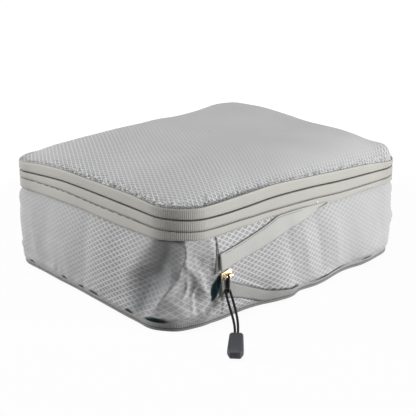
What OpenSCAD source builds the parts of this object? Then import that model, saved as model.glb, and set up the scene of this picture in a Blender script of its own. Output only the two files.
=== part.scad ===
// Compression packing cube, shown stuffed and with its compression zip open.
// Millimetres. X runs along the long front face, Y to the back, Z up.
// The origin is the middle of the base, on the surface that the cube stands on.

/* [Bag] */
// Length over the zip tapes, along X
bag_l = 300; // [250:1:340]
// Depth over the zip tapes, along Y
bag_d = 248; // [210:1:290]
// Corner radius in plan
corner_r = 32; // [26:1:44]
// Thickness of the woven panels
fabric_t = 1.2; // [0.8:0.1:1.6]
// Thickness of the bias bindings inside the seams
binding_t = 1.2; // [0.8:0.1:1.6]

/* [Base] */
// Thickness of the base panel
base_t = 1.5; // [1:0.1:2.2]
// Diameter of the piping round the base edge
piping_d = 2.4; // [2.2:0.1:4]
// Height of the binding inside the base edge
base_binding_h = 5; // [3:0.5:6]

/* [Gusset] */
// Height of the folding wall between the two compression tapes
gusset_h = 66.6; // [56:0.2:90]
// How far the stuffed wall bulges past the tapes
bulge = 3.6; // [2:0.1:6]
// Length of gusset cloth sewn in behind each tape
gusset_tuck = 4; // [2:0.5:5]
// Width of the upright strip that closes the wall's join
seam_w = 3; // [2:0.2:5]

/* [Zip tapes] */
// Showing width of the lower compression tape
low_tape_w = 6; // [5:0.2:9]
// Showing width of the upper compression tape
up_tape_w = 8.4; // [7.4:0.2:11]
// Showing width of each main zip tape
main_tape_w = 8.6; // [8:0.2:11]
// Thickness of the zip tapes
tape_t = 1; // [0.8:0.1:1.4]
// Slit between the two main tapes
zip_gap = 1.2; // [1:0.1:1.8]
// Width of one coil along a tape's edge
coil_w = 2.2; // [1.8:0.1:2.8]
// Height of the coil behind the tape
coil_t = 1.6; // [1.2:0.1:2]
// Length of the fabric hinge across the back
hinge_l = 200; // [120:1:220]
// Thickness of the fabric hinge
hinge_t = 0.6; // [0.4:0.1:0.8]

/* [Lid] */
// Crown of the stuffed lid over its seam, at the middle
dome_h = 25; // [16:1:34]
// How much higher the crown is at the right end than in the middle
dome_rise_x = 9; // [0:1:12]
// How much higher the crown is at the back than in the middle
dome_rise_y = 5; // [0:1:8]

/* [Compression zip start] */
// From the bag's left end to the wall's upright join on the front
seam_in = 39; // [36:0.5:44]
// From the join to the middle of the open compression slider
slider_in = 8.5; // [7.6:0.1:12]
// Height of the open compression slider over the surface
slider_z = 40.5; // [34:0.5:46]
// Width of the upper tape lead where it meets the join
up_lead_w = 9; // [7:0.5:12]
// Width of the lower tape lead where it meets the join
low_lead_w = 14; // [10:0.5:16]
// From the join to where the upper lead's sewn edge runs into the upper tape
up_lead_sewn_l = 99; // [81:1:121]
// From the join to where the upper lead's coil edge runs into the upper tape
up_lead_coil_l = 153; // [137:1:171]
// From the join to where the lower lead's sewn edge runs into the lower tape
low_lead_sewn_l = 38; // [27:1:45]
// From the join to where the lower lead's coil edge runs into the lower tape
low_lead_coil_l = 71; // [61:1:91]
// From the end of the upper lead's coil edge back to the stop on the upper compression tape
up_stop_back = 27; // [18:1:42]
// From the join to the stop on the lower compression tape
low_stop_l = 95; // [92:1:109]

/* [Sliders and pulls] */
// Length of a slider along the zip
slider_l = 11.5; // [10:0.5:13]
// Width of a slider at its mouth
slider_w = 8.6; // [8:0.2:9]
// Thickness of a slider's plates
plate_t = 1.1; // [0.9:0.1:1.3]
// Place of the closed main slider on the right face
main_slider_y = 62; // [40:1:66]
// Radius of the crown's round bar that carries the tab
bar_r = 1.1; // [0.9:0.05:1.2]
// Height of the bar over the slider's face
bar_h = 2.5; // [2.4:0.1:3]
// Length of the bar between the crown's legs
bar_l = 5.4; // [4.6:0.2:6]
// From the bar to the tab's cord hole
tab_l = 11.5; // [10:0.5:12]
// Thickness of the pull tab
tab_t = 1.4; // [1:0.1:1.8]
// Radius of the cord hole in the tab
tab_hole_r = 1.5; // [1.3:0.1:1.7]
// Diameter of the pull cord
cord_d = 2; // [1.6:0.1:2.2]
// Length of the moulded grip
grip_l = 25; // [20:1:30]
// Width of the grip at its wide end
grip_w = 12.4; // [10:0.2:14]
// Width of the grip at its mouth
grip_mouth_w = 10.8; // [8:0.2:12]
// Thickness of the grip
grip_t = 6.4; // [5:0.2:6.6]

/* [Hidden] */
$fn = 48;

// Clearance between pieces that aren't sewn face to face
fit = 0.4;
// Clearance between a slider and the tapes that run through it
slide_fit = 0.3;
// Running clearance of the tab on its bar
pin_fit = 0.1;
// Seam line between two tapes that are sewn edge to edge
seam_line = 0.2;

// Heights of the tapes, from the surface up
low_z0 = piping_d;
low_z1 = low_z0 + low_tape_w;
up_z0 = low_z1 + gusset_h;
up_z1 = up_z0 + up_tape_w;
main_low_z0 = up_z1 + seam_line;
main_low_z1 = main_low_z0 + main_tape_w;
main_up_z0 = main_low_z1 + zip_gap;
main_up_z1 = main_up_z0 + main_tape_w;
zip_z = main_low_z1 + zip_gap / 2;

// The coils lie behind the tapes, and the gusset passes inside the coils
coil_in = tape_t + coil_t;
gusset_in = coil_in + fit;
base_in = piping_d + slide_fit;
// The bindings stop short of the main slider's inner plate
plate_half = slider_w / 2 + fit;
upper_binding_z0 = up_z1 - gusset_tuck;
upper_binding_z1 = zip_z - plate_half;
lid_binding_z0 = zip_z + plate_half;
gusset_z0 = low_z1 - gusset_tuck;
gusset_z1 = up_z1 - gusset_tuck + fit;

// Share of the bulge that is left at the corners, and how boxy the bulge and the crown are
corner_bulge = 0.5;
bulge_power = 0.55;
crown_power = 5;

// Samples round the outline: [x, y, outward x, outward y, share of the bulge]
arc_n = 6;
side_n = 7;
half_l = bag_l / 2 - corner_r;
half_d = bag_d / 2 - corner_r;
corners = [[half_l, half_d], [-half_l, half_d], [-half_l, -half_d], [half_l, -half_d]];
function turn(c, k) = 90 * (c + k / arc_n);
function arc_sample(c, k) = let (a = turn(c, k), u = [cos(a), sin(a)], p = corners[c] + corner_r * u)
    [p.x, p.y, u.x, u.y, corner_bulge];
function side_sample(c, k) = let (s = k / (side_n + 1), a = 90 * (c + 1), u = [cos(a), sin(a)],
    p = corners[c] * (1 - s) + corners[(c + 1) % 4] * s + corner_r * u)
    [p.x, p.y, u.x, u.y, side_share(2 * s - 1)];
function side_share(u) = 1 - (1 - corner_bulge) * u * u;
outline_samples = [for (c = [0:3]) each concat(
    [for (k = [0:arc_n]) arc_sample(c, k)], [for (k = [1:side_n]) side_sample(c, k)])];
function inset_point(s, inset, z) = [s[0] - s[2] * inset, s[1] - s[3] * inset, z];

// The wall's inset from the outline at a height, and the wall's face on the front
function swell(z) = let (t = (z - low_z1) / gusset_h) t <= 0 || t >= 1 ? 0 : pow(sin(180 * t), bulge_power);
function wall_inset(z, share) = gusset_in - (gusset_in + bulge * share) * swell(z);
function wall_y(x, z) = -bag_d / 2 + wall_inset(z, side_share(x / half_l));

// The leads: the heights of their edges along the front face
lead_gap = coil_t + fit;
lead_coil_t = coil_t - slide_fit;
seam_x = -bag_l / 2 + seam_in;
up_lead_sewn_x = seam_x + up_lead_sewn_l;
up_lead_coil_x = seam_x + up_lead_coil_l;
low_lead_sewn_x = seam_x + low_lead_sewn_l;
low_lead_coil_x = seam_x + low_lead_coil_l;
slider_x = seam_x + slider_in;
mouth_x = slider_x + slider_l / 2;
lead_x0 = seam_x + seam_w / 2 + fit;
lead_slit = 0.6;
edge_gap = 0.4;
lead_end_h = 3;
// The leads' first step past the slider's mouth, and the wall's steps in height
lead_step = 5;
wall_rows = 12;
up_top = up_z0 - edge_gap;
low_bottom = low_z1 + edge_gap;
function up_lead_sewn(x) = min(up_top,
    lookup(x, [[lead_x0, slider_z + up_lead_w], [up_lead_sewn_x, up_z0]]));
function up_lead_coil(x) = lookup(x, [[mouth_x, slider_z + lead_slit], [up_lead_coil_x, up_z0]]);
function low_lead_coil(x) = lookup(x, [[mouth_x, slider_z - lead_slit], [low_lead_coil_x, low_z1]]);
function low_lead_sewn(x) = max(low_bottom,
    lookup(x, [[lead_x0, slider_z - low_lead_w], [low_lead_sewn_x, low_z1]]));
up_lead_x1 = up_lead_coil_x - (up_lead_coil_x - mouth_x) * lead_end_h / (up_z0 - slider_z);
low_lead_x1 = low_lead_coil_x - (low_lead_coil_x - mouth_x) * lead_end_h / (slider_z - low_z1);
// The yokes run this far under the leads' sewn edges
yoke_lap = 3;
yoke_gap = fit;
lead_face_y = wall_y(slider_x, slider_z) - lead_gap - tape_t;

// The sliders' own frame: X along the zip, Y up, Z outwards from the tape's face
face_z = slide_fit + plate_t;
bar_z = face_z + bar_h;
leg_l = 1;
leg_w = 2.4;
eye_wall = 0.9;
tab_eye_r = bar_r + pin_fit + eye_wall;
tab_end_r = tab_hole_r + eye_wall;
tab_w = 3.6;
tab_s = -1.6;
post_l = 2;
post_t = zip_gap / 2;
post_x = 2.3;
// Plan of the plates: widths at the closed end and the waist, and lengths back from the mouth
nose_w = 5.2;
waist_w = 6.2;
flare_l = 7.7;
mouth_l = 3.1;
mouth_corner = 1.2;
stop_l = 2.4;
stop_t = 0.7;

// The grip's chamfer, its rounded heel, and where the heel's curve starts, back from its end
grip_chamfer = 1.6;
heel_w = 7.6;
heel_l = 4;
shoulder_l = 8;

// Middle line of each pull cord, from the grip's mouth up through the tab and back.
// The front one is measured from under its slider, the other from its slider.
// Each grip's mouth is just clear of its cord's ends.
comp_route = [
    [-24.6, -38.6, 8.6], [-17.4, -31.6, 10.4], [-11.5, -25.1, 12.2], [-6.7, -18.9, 14.5], [-3.0, -13.3, 17.5],
    [-0.5, -8.5, 21.4], [0.8, -4.4, 26.2], [0.2, -4.0, 28.2], [-1.6, -3.9, 29.0], [-3.4, -4.0, 28.2],
    [-4.0, -4.4, 26.2], [-5.5, -8.2, 21.4], [-7.8, -12.8, 17.5], [-10.6, -17.9, 14.5], [-14.5, -23.7, 12.2],
    [-19.5, -30.0, 10.4], [-26.1, -36.9, 8.6]
];
comp_place = [slider_x, lead_face_y, 0];
comp_cord = [for (p = comp_route) comp_place + p];
comp_cord_up = [0.2, 0.66, -0.7];
comp_mouth_at = [-25.7, -38.1, 8.5];
comp_mouth = comp_place + comp_mouth_at;
comp_grip_turn = 133;
// The front grip leans from its mouth down to the surface
comp_grip_lean = asin((comp_mouth_at.z - grip_t / 2 - fit) / grip_l);
main_route = [
    [7.6, -0.2, -51.8], [7.3, -0.1, -47.8], [6.9, 0.1, -43.6], [6.4, 0.5, -39.4], [5.9, 0.9, -35.2],
    [5.4, 1.4, -31.0], [4.9, 1.9, -26.8], [4.5, 2.2, -22.6], [4.1, 2.4, -18.6], [3.9, 2.3, -15.4],
    [3.9, 1.1, -12.7], [3.9, -1.6, -11.5], [3.9, -4.3, -12.7], [3.9, -5.5, -15.4], [4.1, -5.6, -18.6],
    [4.5, -5.4, -22.6], [4.9, -5.1, -26.8], [5.4, -4.6, -31.0], [5.9, -4.1, -35.2], [6.4, -3.7, -39.4],
    [6.9, -3.3, -43.6], [7.3, -3.1, -47.8], [7.6, -3.0, -51.8]
];
main_place = [bag_l / 2, main_slider_y, zip_z];
main_cord = [for (p = main_route) main_place + p];
main_cord_up = [1, 0, 0];
main_mouth = main_place + [7.6, -1.6, -52.2];

// Colours
silver_cloth = [0.74, 0.74, 0.74];
grey_tape = [0.80, 0.80, 0.77];
grey_trim = [0.58, 0.58, 0.57];
coil_grey = [0.66, 0.66, 0.63];
brass = [0.83, 0.68, 0.42];
black_cord = [0.08, 0.08, 0.09];
charcoal = [0.20, 0.21, 0.23];

// Plan of the bag at an inset from its outer face
module outline(inset) {
    l = bag_l - 2 * inset;
    d = bag_d - 2 * inset;
    r = corner_r - inset;
    square([l - 2 * r, d], center = true);
    square([l, d - 2 * r], center = true);
    for (c = corners) translate(c) circle(r = r);
}

// Upright band round the bag between two heights and two insets
module band(z0, z1, outer, inner) {
    translate([0, 0, z0]) linear_extrude(z1 - z0) difference() {
        outline(outer);
        outline(inner);
    }
}

// Round cord laid along the bag's outline
module round_band(d) {
    r = corner_r - d / 2;
    translate([0, 0, d / 2]) {
        for (k = [0:3]) translate(corners[k]) rotate([0, 0, 90 * k])
            rotate_extrude(angle = 90) translate([r, 0]) circle(d = d);
        for (s = [-1, 1]) {
            translate([-half_l, s * (half_d + r), 0]) rotate([0, 90, 0]) cylinder(d = d, h = 2 * half_l);
            translate([s * (half_l + r), half_d, 0]) rotate([90, 0, 0]) cylinder(d = d, h = 2 * half_d);
        }
    }
}

// Faces of a strip of quads, as triangles, from four point numbers given clockwise
function quad(a, b, c, d) = [[a, b, c], [a, c, d]];

// Closed wall between stacked rings: rings are lists of points, from the lowest up, outer ones first
module ring_wall(outer, inner) {
    n = len(outer[0]);
    m = len(outer) - 1;
    first_inner = n * (m + 1);
    points = concat([for (ring = outer) each ring], [for (ring = inner) each ring]);
    function o(k, i) = n * k + i % n;
    function q(k, i) = first_inner + o(k, i);
    faces = [for (i = [0:n - 1]) each concat(
        [for (k = [0:m - 1]) each quad(o(k, i), o(k + 1, i), o(k + 1, i + 1), o(k, i + 1))],
        [for (k = [0:m - 1]) each quad(q(k, i), q(k, i + 1), q(k + 1, i + 1), q(k + 1, i))],
        quad(o(m, i), q(m, i), q(m, i + 1), o(m, i + 1)),
        quad(o(0, i), o(0, i + 1), q(0, i + 1), q(0, i)))];
    polyhedron(points, faces);
}

// Closed crown: rings from the skirt's lower edge up and in, each side ending at its top point
module crown_shell(outer, outer_top, inner, inner_top) {
    n = len(outer[0]);
    m = len(outer) - 1;
    first_inner = n * (m + 1);
    tops = 2 * first_inner;
    points = concat([for (ring = outer) each ring], [for (ring = inner) each ring], [outer_top, inner_top]);
    function o(k, i) = n * k + i % n;
    function q(k, i) = first_inner + o(k, i);
    faces = [for (i = [0:n - 1]) each concat(
        [for (k = [0:m - 1]) each quad(o(k, i), o(k + 1, i), o(k + 1, i + 1), o(k, i + 1))],
        [for (k = [0:m - 1]) each quad(q(k, i), q(k, i + 1), q(k + 1, i + 1), q(k + 1, i))],
        [[o(m, i), tops, o(m, i + 1)], [q(m, i), q(m, i + 1), tops + 1]],
        quad(o(0, i), o(0, i + 1), q(0, i + 1), q(0, i)))];
    polyhedron(points, faces);
}

// Cloth laid on the front wall: columns are [x, low edge, high edge], rows counts steps up each column
module wall_patch(columns, rows, gap, thickness) {
    n = len(columns) - 1;
    back0 = (n + 1) * (rows + 1);
    function rise(c, j) = c[1] + (c[2] - c[1]) * j / rows;
    function lay(c, j, off) = let (z = rise(c, j)) [c[0], wall_y(c[0], z) - off, z];
    points = concat([for (c = columns, j = [0:rows]) lay(c, j, gap + thickness)],
        [for (c = columns, j = [0:rows]) lay(c, j, gap)]);
    function f(i, j) = (rows + 1) * i + j;
    function b(i, j) = back0 + f(i, j);
    faces = concat(
        [for (i = [0:n - 1], j = [0:rows - 1]) each quad(f(i, j), f(i, j + 1), f(i + 1, j + 1), f(i + 1, j))],
        [for (i = [0:n - 1], j = [0:rows - 1]) each quad(b(i, j), b(i + 1, j), b(i + 1, j + 1), b(i, j + 1))],
        [for (i = [0:n - 1]) each quad(f(i, 0), f(i + 1, 0), b(i + 1, 0), b(i, 0))],
        [for (i = [0:n - 1]) each quad(f(i + 1, rows), f(i, rows), b(i, rows), b(i + 1, rows))],
        [for (j = [0:rows - 1]) each quad(f(0, j), b(0, j), b(0, j + 1), f(0, j + 1))],
        [for (j = [0:rows - 1]) each quad(f(n, j), f(n, j + 1), b(n, j + 1), b(n, j))]);
    polyhedron(points, faces);
}

// Round tube along a route; side is a direction that the route never takes
module cord_tube(route, side, d) {
    sides = 8;
    n = len(route);
    function heading(i) = route[min(i + 1, n - 1)] - route[max(i - 1, 0)];
    function unit(v) = v / norm(v);
    function ring(i) = let (t = unit(heading(i)), a = unit(cross(t, side)), b = cross(t, a))
        [for (k = [0:sides - 1]) route[i] + d / 2 * (cos(360 * k / sides) * a + sin(360 * k / sides) * b)];
    points = [for (i = [0:n - 1]) each ring(i)];
    function at(i, k) = sides * i + k % sides;
    faces = concat(
        [for (i = [0:n - 2], k = [0:sides - 1])
            each quad(at(i, k), at(i, k + 1), at(i + 1, k + 1), at(i + 1, k))],
        [for (k = [1:sides - 2]) [at(0, 0), at(0, k + 1), at(0, k)]],
        [for (k = [1:sides - 2]) [at(n - 1, 0), at(n - 1, k), at(n - 1, k + 1)]]);
    polyhedron(points, faces);
}

function steps(x0, x1, n) = [for (i = [0:n]) x0 + (x1 - x0) * i / n];

module base_panel() {
    color(silver_cloth) linear_extrude(base_t) outline(base_in);
}

module base_piping() {
    color(grey_trim) round_band(piping_d);
}

module base_binding() {
    color(grey_trim) band(base_t, base_t + base_binding_h, gusset_in + fabric_t + fit,
        gusset_in + fabric_t + fit + binding_t);
}

module comp_lower_tape() {
    color(grey_tape) band(low_z0, low_z1, 0, tape_t);
}

module comp_lower_coil() {
    color(coil_grey) band(low_z1 - coil_w, low_z1, tape_t, coil_in);
}

// Folded stop on a tape's edge on the front face
module front_stop(x, z) {
    translate([x, -bag_d / 2 - stop_t, z]) cube([stop_l, stop_t, coil_w]);
}

module comp_lower_stop() {
    color(grey_trim) front_stop(seam_x + low_stop_l, low_z1 - coil_w);
}

module gusset() {
    levels = concat([gusset_z0], steps(low_z1, up_z0, wall_rows), [gusset_z1]);
    function ring_at(z, in) = [for (s = outline_samples) inset_point(s, wall_inset(z, s[4]) + in, z)];
    color(silver_cloth) ring_wall([for (z = levels) ring_at(z, 0)], [for (z = levels) ring_at(z, fabric_t)]);
}

module gusset_seam() {
    sides = [seam_x - seam_w / 2, seam_x + seam_w / 2];
    color(grey_trim) wall_patch([for (x = sides) [x, low_bottom, up_top]], wall_rows, yoke_gap, fabric_t);
}

module lower_yoke() {
    color(silver_cloth) wall_patch([for (x = steps(lead_x0, low_lead_sewn_x, 5))
        [x, low_bottom, low_lead_sewn(x) + yoke_lap]], 3, yoke_gap, fabric_t);
}

module comp_lower_lead() {
    places = concat(steps(lead_x0, mouth_x, 2), steps(mouth_x + lead_step, low_lead_x1, 6));
    color(grey_tape) wall_patch([for (x = places) [x, low_lead_sewn(x), low_lead_coil(x)]],
        4, lead_gap, tape_t);
}

module comp_lower_lead_coil() {
    color(coil_grey) wall_patch([for (x = steps(mouth_x + fit, low_lead_x1, 6))
        [x, low_lead_coil(x) - coil_w, low_lead_coil(x)]], 1, fit, lead_coil_t);
}

module upper_yoke() {
    color(silver_cloth) wall_patch([for (x = steps(lead_x0, up_lead_sewn_x - yoke_lap, 8))
        [x, up_lead_sewn(x) - yoke_lap, up_top]], 6, yoke_gap, fabric_t);
}

module comp_upper_lead() {
    places = concat(steps(lead_x0, mouth_x, 2), steps(mouth_x + lead_step, up_lead_x1, 12));
    color(grey_tape) wall_patch([for (x = places) [x, up_lead_coil(x), up_lead_sewn(x)]],
        4, lead_gap, tape_t);
}

module comp_upper_lead_coil() {
    color(coil_grey) wall_patch([for (x = steps(mouth_x + fit, up_lead_x1, 12))
        [x, up_lead_coil(x), up_lead_coil(x) + coil_w]], 1, fit, lead_coil_t);
}

module comp_upper_tape() {
    color(grey_tape) band(up_z0, up_z1, 0, tape_t);
}

module comp_upper_coil() {
    color(coil_grey) band(up_z0, up_z0 + coil_w, tape_t, coil_in);
}

module comp_upper_stop() {
    color(grey_trim) front_stop(up_lead_coil_x - up_stop_back, up_z0);
}

module upper_binding() {
    color(grey_trim) band(upper_binding_z0, upper_binding_z1, tape_t, tape_t + binding_t);
}

module main_lower_tape() {
    color(grey_tape) band(main_low_z0, main_low_z1, 0, tape_t);
}

module main_lower_coil() {
    color(coil_grey) band(main_low_z1 - coil_w, main_low_z1, tape_t, coil_in);
}

// One stop at each end of the main zip, past the slider on the right and alike on the left
module main_zip_stops() {
    y = main_slider_y + slider_l / 2 + stop_l;
    color(grey_trim) for (s = [-1, 1]) translate([s * (bag_l + stop_t) / 2, y, main_low_z1 - coil_w / 2])
        cube([stop_t, stop_l, coil_w], center = true);
}

module hinge_web() {
    z0 = main_low_z0 + seam_line;
    z1 = main_up_z1 - seam_line;
    color(grey_trim) translate([-hinge_l / 2, bag_d / 2 + slide_fit, z0]) cube([hinge_l, hinge_t, z1 - z0]);
}

module lid_panel() {
    rim = tape_t;
    insets = [0, 0.03, 0.07, 0.12, 0.2, 0.32, 0.5, 0.75];
    function crown(x, y, t) = (dome_h + dome_rise_x * x / (bag_l / 2) + dome_rise_y * y / (bag_d / 2))
        * (1 - pow(1 - t, crown_power));
    function crown_ring(t, in) = [for (s = outline_samples)
        let (p = inset_point(s, rim + in, 0) * (1 - t)) [p.x, p.y, main_up_z1 + crown(p.x, p.y, t) - in]];
    function skirt(in) = [for (s = outline_samples) inset_point(s, rim + in, lid_binding_z0)];
    color(silver_cloth) crown_shell(
        concat([skirt(0)], [for (t = insets) crown_ring(t, 0)]), [0, 0, main_up_z1 + dome_h],
        concat([skirt(fabric_t)], [for (t = insets) crown_ring(t, fabric_t)]),
        [0, 0, main_up_z1 + dome_h - fabric_t]);
}

module lid_binding() {
    inset = tape_t + fabric_t + fit;
    color(grey_trim) band(lid_binding_z0, main_up_z1 - fabric_t, inset, inset + binding_t);
}

module main_upper_tape() {
    color(grey_tape) band(main_up_z0, main_up_z1, 0, tape_t);
}

module main_upper_coil() {
    color(coil_grey) band(main_up_z0, main_up_z0 + coil_w, tape_t, coil_in);
}

// Plan of a slider's plates: narrow over the closed chain, wide at the mouth
module slider_plan() {
    half = slider_l / 2;
    side = [[-half, nose_w / 2], [half - flare_l, waist_w / 2], [half - mouth_l, slider_w / 2],
        [half - mouth_corner, slider_w / 2], [half, waist_w / 2]];
    polygon(concat([for (p = side) p], [for (k = [4:-1:0]) [side[k].x, -side[k].y]]));
}

module slider_body(channel) {
    translate([0, 0, slide_fit]) linear_extrude(plate_t) slider_plan();
    translate([0, 0, -channel - plate_t]) linear_extrude(plate_t) slider_plan();
    translate([post_x, -post_t / 2, -channel]) cube([post_l, post_t, channel + slide_fit]);
}

module slider_crown() {
    span = bar_l + 2 * leg_l;
    for (x = [-span / 2, span / 2 - leg_l]) {
        translate([x, -leg_w / 2, face_z]) cube([leg_l, leg_w, bar_h]);
        translate([x, 0, bar_z]) rotate([0, 90, 0]) cylinder(d = leg_w, h = leg_l);
    }
    translate([-bar_l / 2, 0, bar_z]) rotate([0, 90, 0]) cylinder(r = bar_r, h = bar_l);
}

module pull_tab() {
    translate([tab_s - tab_t / 2, 0, 0]) rotate([90, 0, 90]) linear_extrude(tab_t) difference() {
        union() {
            translate([0, bar_z]) circle(r = tab_eye_r);
            translate([-tab_l, bar_z - tab_w / 2]) square([tab_l, tab_w]);
            translate([-tab_l, bar_z]) circle(r = tab_end_r);
        }
        translate([0, bar_z]) circle(r = bar_r + pin_fit);
        translate([-tab_l, bar_z]) circle(r = tab_hole_r);
    }
}

// Moulded grip: mouth at the origin, length along Y, chamfered front and back
module pull_grip() {
    module slice(i, t) {
        side = [[grip_mouth_w / 2 - i, 0], [grip_w / 2 - i, grip_l - shoulder_l],
            [grip_w / 2 - i, grip_l - heel_l], [heel_w / 2, grip_l - i / 2]];
        linear_extrude(t, center = true)
            polygon(concat(side, [for (k = [3:-1:0]) [-side[k].x, side[k].y]]));
    }
    hull() {
        slice(0, grip_t - 2 * grip_chamfer);
        slice(grip_chamfer, grip_t);
    }
}

module at_comp_slider() {
    translate([slider_x, lead_face_y, slider_z]) rotate([90, 0, 0]) children();
}

module at_main_slider() {
    translate(main_place) rotate([90, 0, 90]) children();
}

module comp_slider_body() {
    color(brass) at_comp_slider() slider_body(tape_t + fit);
}

module comp_slider_crown() {
    color(brass) at_comp_slider() slider_crown();
}

module comp_pull_tab() {
    color(brass) at_comp_slider() pull_tab();
}

module comp_pull_cord() {
    color(black_cord) cord_tube(comp_cord, comp_cord_up, cord_d);
}

module comp_pull_grip() {
    color(charcoal) translate(comp_mouth) rotate([-comp_grip_lean, 0, comp_grip_turn]) pull_grip();
}

module main_slider_body() {
    color(brass) at_main_slider() slider_body(coil_in + fit);
}

module main_slider_crown() {
    color(brass) at_main_slider() slider_crown();
}

module main_pull_tab() {
    color(brass) at_main_slider() pull_tab();
}

module main_pull_cord() {
    color(black_cord) cord_tube(main_cord, main_cord_up, cord_d);
}

module main_pull_grip() {
    color(charcoal) translate(main_mouth) rotate([-90, 0, -90]) pull_grip();
}

base_panel();
base_piping();
base_binding();
comp_lower_tape();
comp_lower_coil();
comp_lower_stop();
gusset();
gusset_seam();
lower_yoke();
comp_lower_lead();
comp_lower_lead_coil();
upper_yoke();
comp_upper_lead();
comp_upper_lead_coil();
comp_upper_tape();
comp_upper_coil();
comp_upper_stop();
upper_binding();
main_lower_tape();
main_lower_coil();
main_zip_stops();
hinge_web();
lid_panel();
lid_binding();
main_upper_tape();
main_upper_coil();
comp_slider_body();
comp_slider_crown();
comp_pull_tab();
comp_pull_cord();
comp_pull_grip();
main_slider_body();
main_slider_crown();
main_pull_tab();
main_pull_cord();
main_pull_grip();
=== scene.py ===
"""Looks of a compression packing cube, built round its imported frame.

Sizes below are in millimetres and meshes in metres. The bag's walls are laid out by s, the way round the
outline from the front face's left end, anticlockwise seen from above, and z, the height over the surface.
"""

import logging
import math
from dataclasses import dataclass
from enum import Enum
from typing import Any, Callable

import bmesh
import bpy
import numpy as np
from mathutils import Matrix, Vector


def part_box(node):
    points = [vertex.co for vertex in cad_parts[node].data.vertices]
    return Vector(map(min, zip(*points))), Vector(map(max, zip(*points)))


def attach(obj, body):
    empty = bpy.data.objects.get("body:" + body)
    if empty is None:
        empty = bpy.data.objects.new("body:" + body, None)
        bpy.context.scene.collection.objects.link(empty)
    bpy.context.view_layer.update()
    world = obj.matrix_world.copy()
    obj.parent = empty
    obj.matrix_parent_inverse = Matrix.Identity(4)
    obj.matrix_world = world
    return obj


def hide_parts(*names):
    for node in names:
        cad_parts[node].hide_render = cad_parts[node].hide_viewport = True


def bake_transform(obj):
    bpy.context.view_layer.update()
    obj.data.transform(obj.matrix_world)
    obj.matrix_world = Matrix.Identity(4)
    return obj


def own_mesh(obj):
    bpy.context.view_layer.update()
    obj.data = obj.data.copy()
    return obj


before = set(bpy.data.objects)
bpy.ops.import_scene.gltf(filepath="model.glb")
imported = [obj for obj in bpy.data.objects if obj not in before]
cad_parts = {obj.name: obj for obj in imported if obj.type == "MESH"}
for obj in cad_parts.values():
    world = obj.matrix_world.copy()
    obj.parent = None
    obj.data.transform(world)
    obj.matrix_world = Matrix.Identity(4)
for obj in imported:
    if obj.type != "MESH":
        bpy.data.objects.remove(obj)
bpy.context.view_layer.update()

MM = 0.001
CORNER_RADIUS = 32.0
LOG = logging.getLogger("packing_cube")
Array = np.ndarray
Colour = tuple[float, float, float]
Object = bpy.types.Object


class Slot(Enum):
    """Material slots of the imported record."""

    CLOTH = "cloth"
    TAPE = "tape"
    TRIM = "trim"
    COIL = "coil"
    BRASS = "brass"
    STOPS = "stops"
    CORD = "cord"
    GRIP = "grip"


class Body(Enum):
    """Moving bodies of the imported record."""

    BASE = "base"
    UPPER = "upper"
    LID = "lid"
    COMP_SLIDER = "comp_slider"
    COMP_TAB = "comp_tab"
    COMP_CORD = "comp_cord"
    COMP_GRIP = "comp_grip"
    MAIN_SLIDER = "main_slider"
    MAIN_TAB = "main_tab"
    MAIN_CORD = "main_cord"
    MAIN_GRIP = "main_grip"


class Value:
    """A shader socket that takes part in plain arithmetic."""

    def __init__(self, shader: "Shader", socket: bpy.types.NodeSocket) -> None:
        """Holds the socket and the shader that it belongs to."""
        self.shader = shader
        self.socket = socket

    def _math(self, operation: str, *terms: Any) -> "Value":
        """Adds one Math node on the given terms."""
        return self.shader.node("ShaderNodeMath", {"operation": operation}, dict(enumerate(terms)))

    def __add__(self, other: Any) -> "Value":
        """Sum with a value or a number."""
        return self._math("ADD", self, other)

    __radd__ = __add__

    def __sub__(self, other: Any) -> "Value":
        """Difference from a value or a number."""
        return self._math("SUBTRACT", self, other)

    def __rsub__(self, other: Any) -> "Value":
        """A number less this value."""
        return self._math("SUBTRACT", other, self)

    def __mul__(self, other: Any) -> "Value":
        """Product with a value or a number."""
        return self._math("MULTIPLY", self, other)

    __rmul__ = __mul__

    def __abs__(self) -> "Value":
        """Size without its sign."""
        return self._math("ABSOLUTE", self)

    def frac(self) -> "Value":
        """Part after the whole number."""
        return self._math("FRACT", self)

    def sine(self) -> "Value":
        """Sine of the value in radians."""
        return self._math("SINE", self)

    def greater(self, other: Any) -> "Value":
        """The larger of two values."""
        return self._math("MAXIMUM", self, other)

    def ease(self, low: float, high: float) -> "Value":
        """Smooth step from 0 at low to 1 at high."""
        settings = {"interpolation_type": "SMOOTHSTEP"}
        return self.shader.node("ShaderNodeMapRange", settings, {0: self, 1: low, 2: high})


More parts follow.
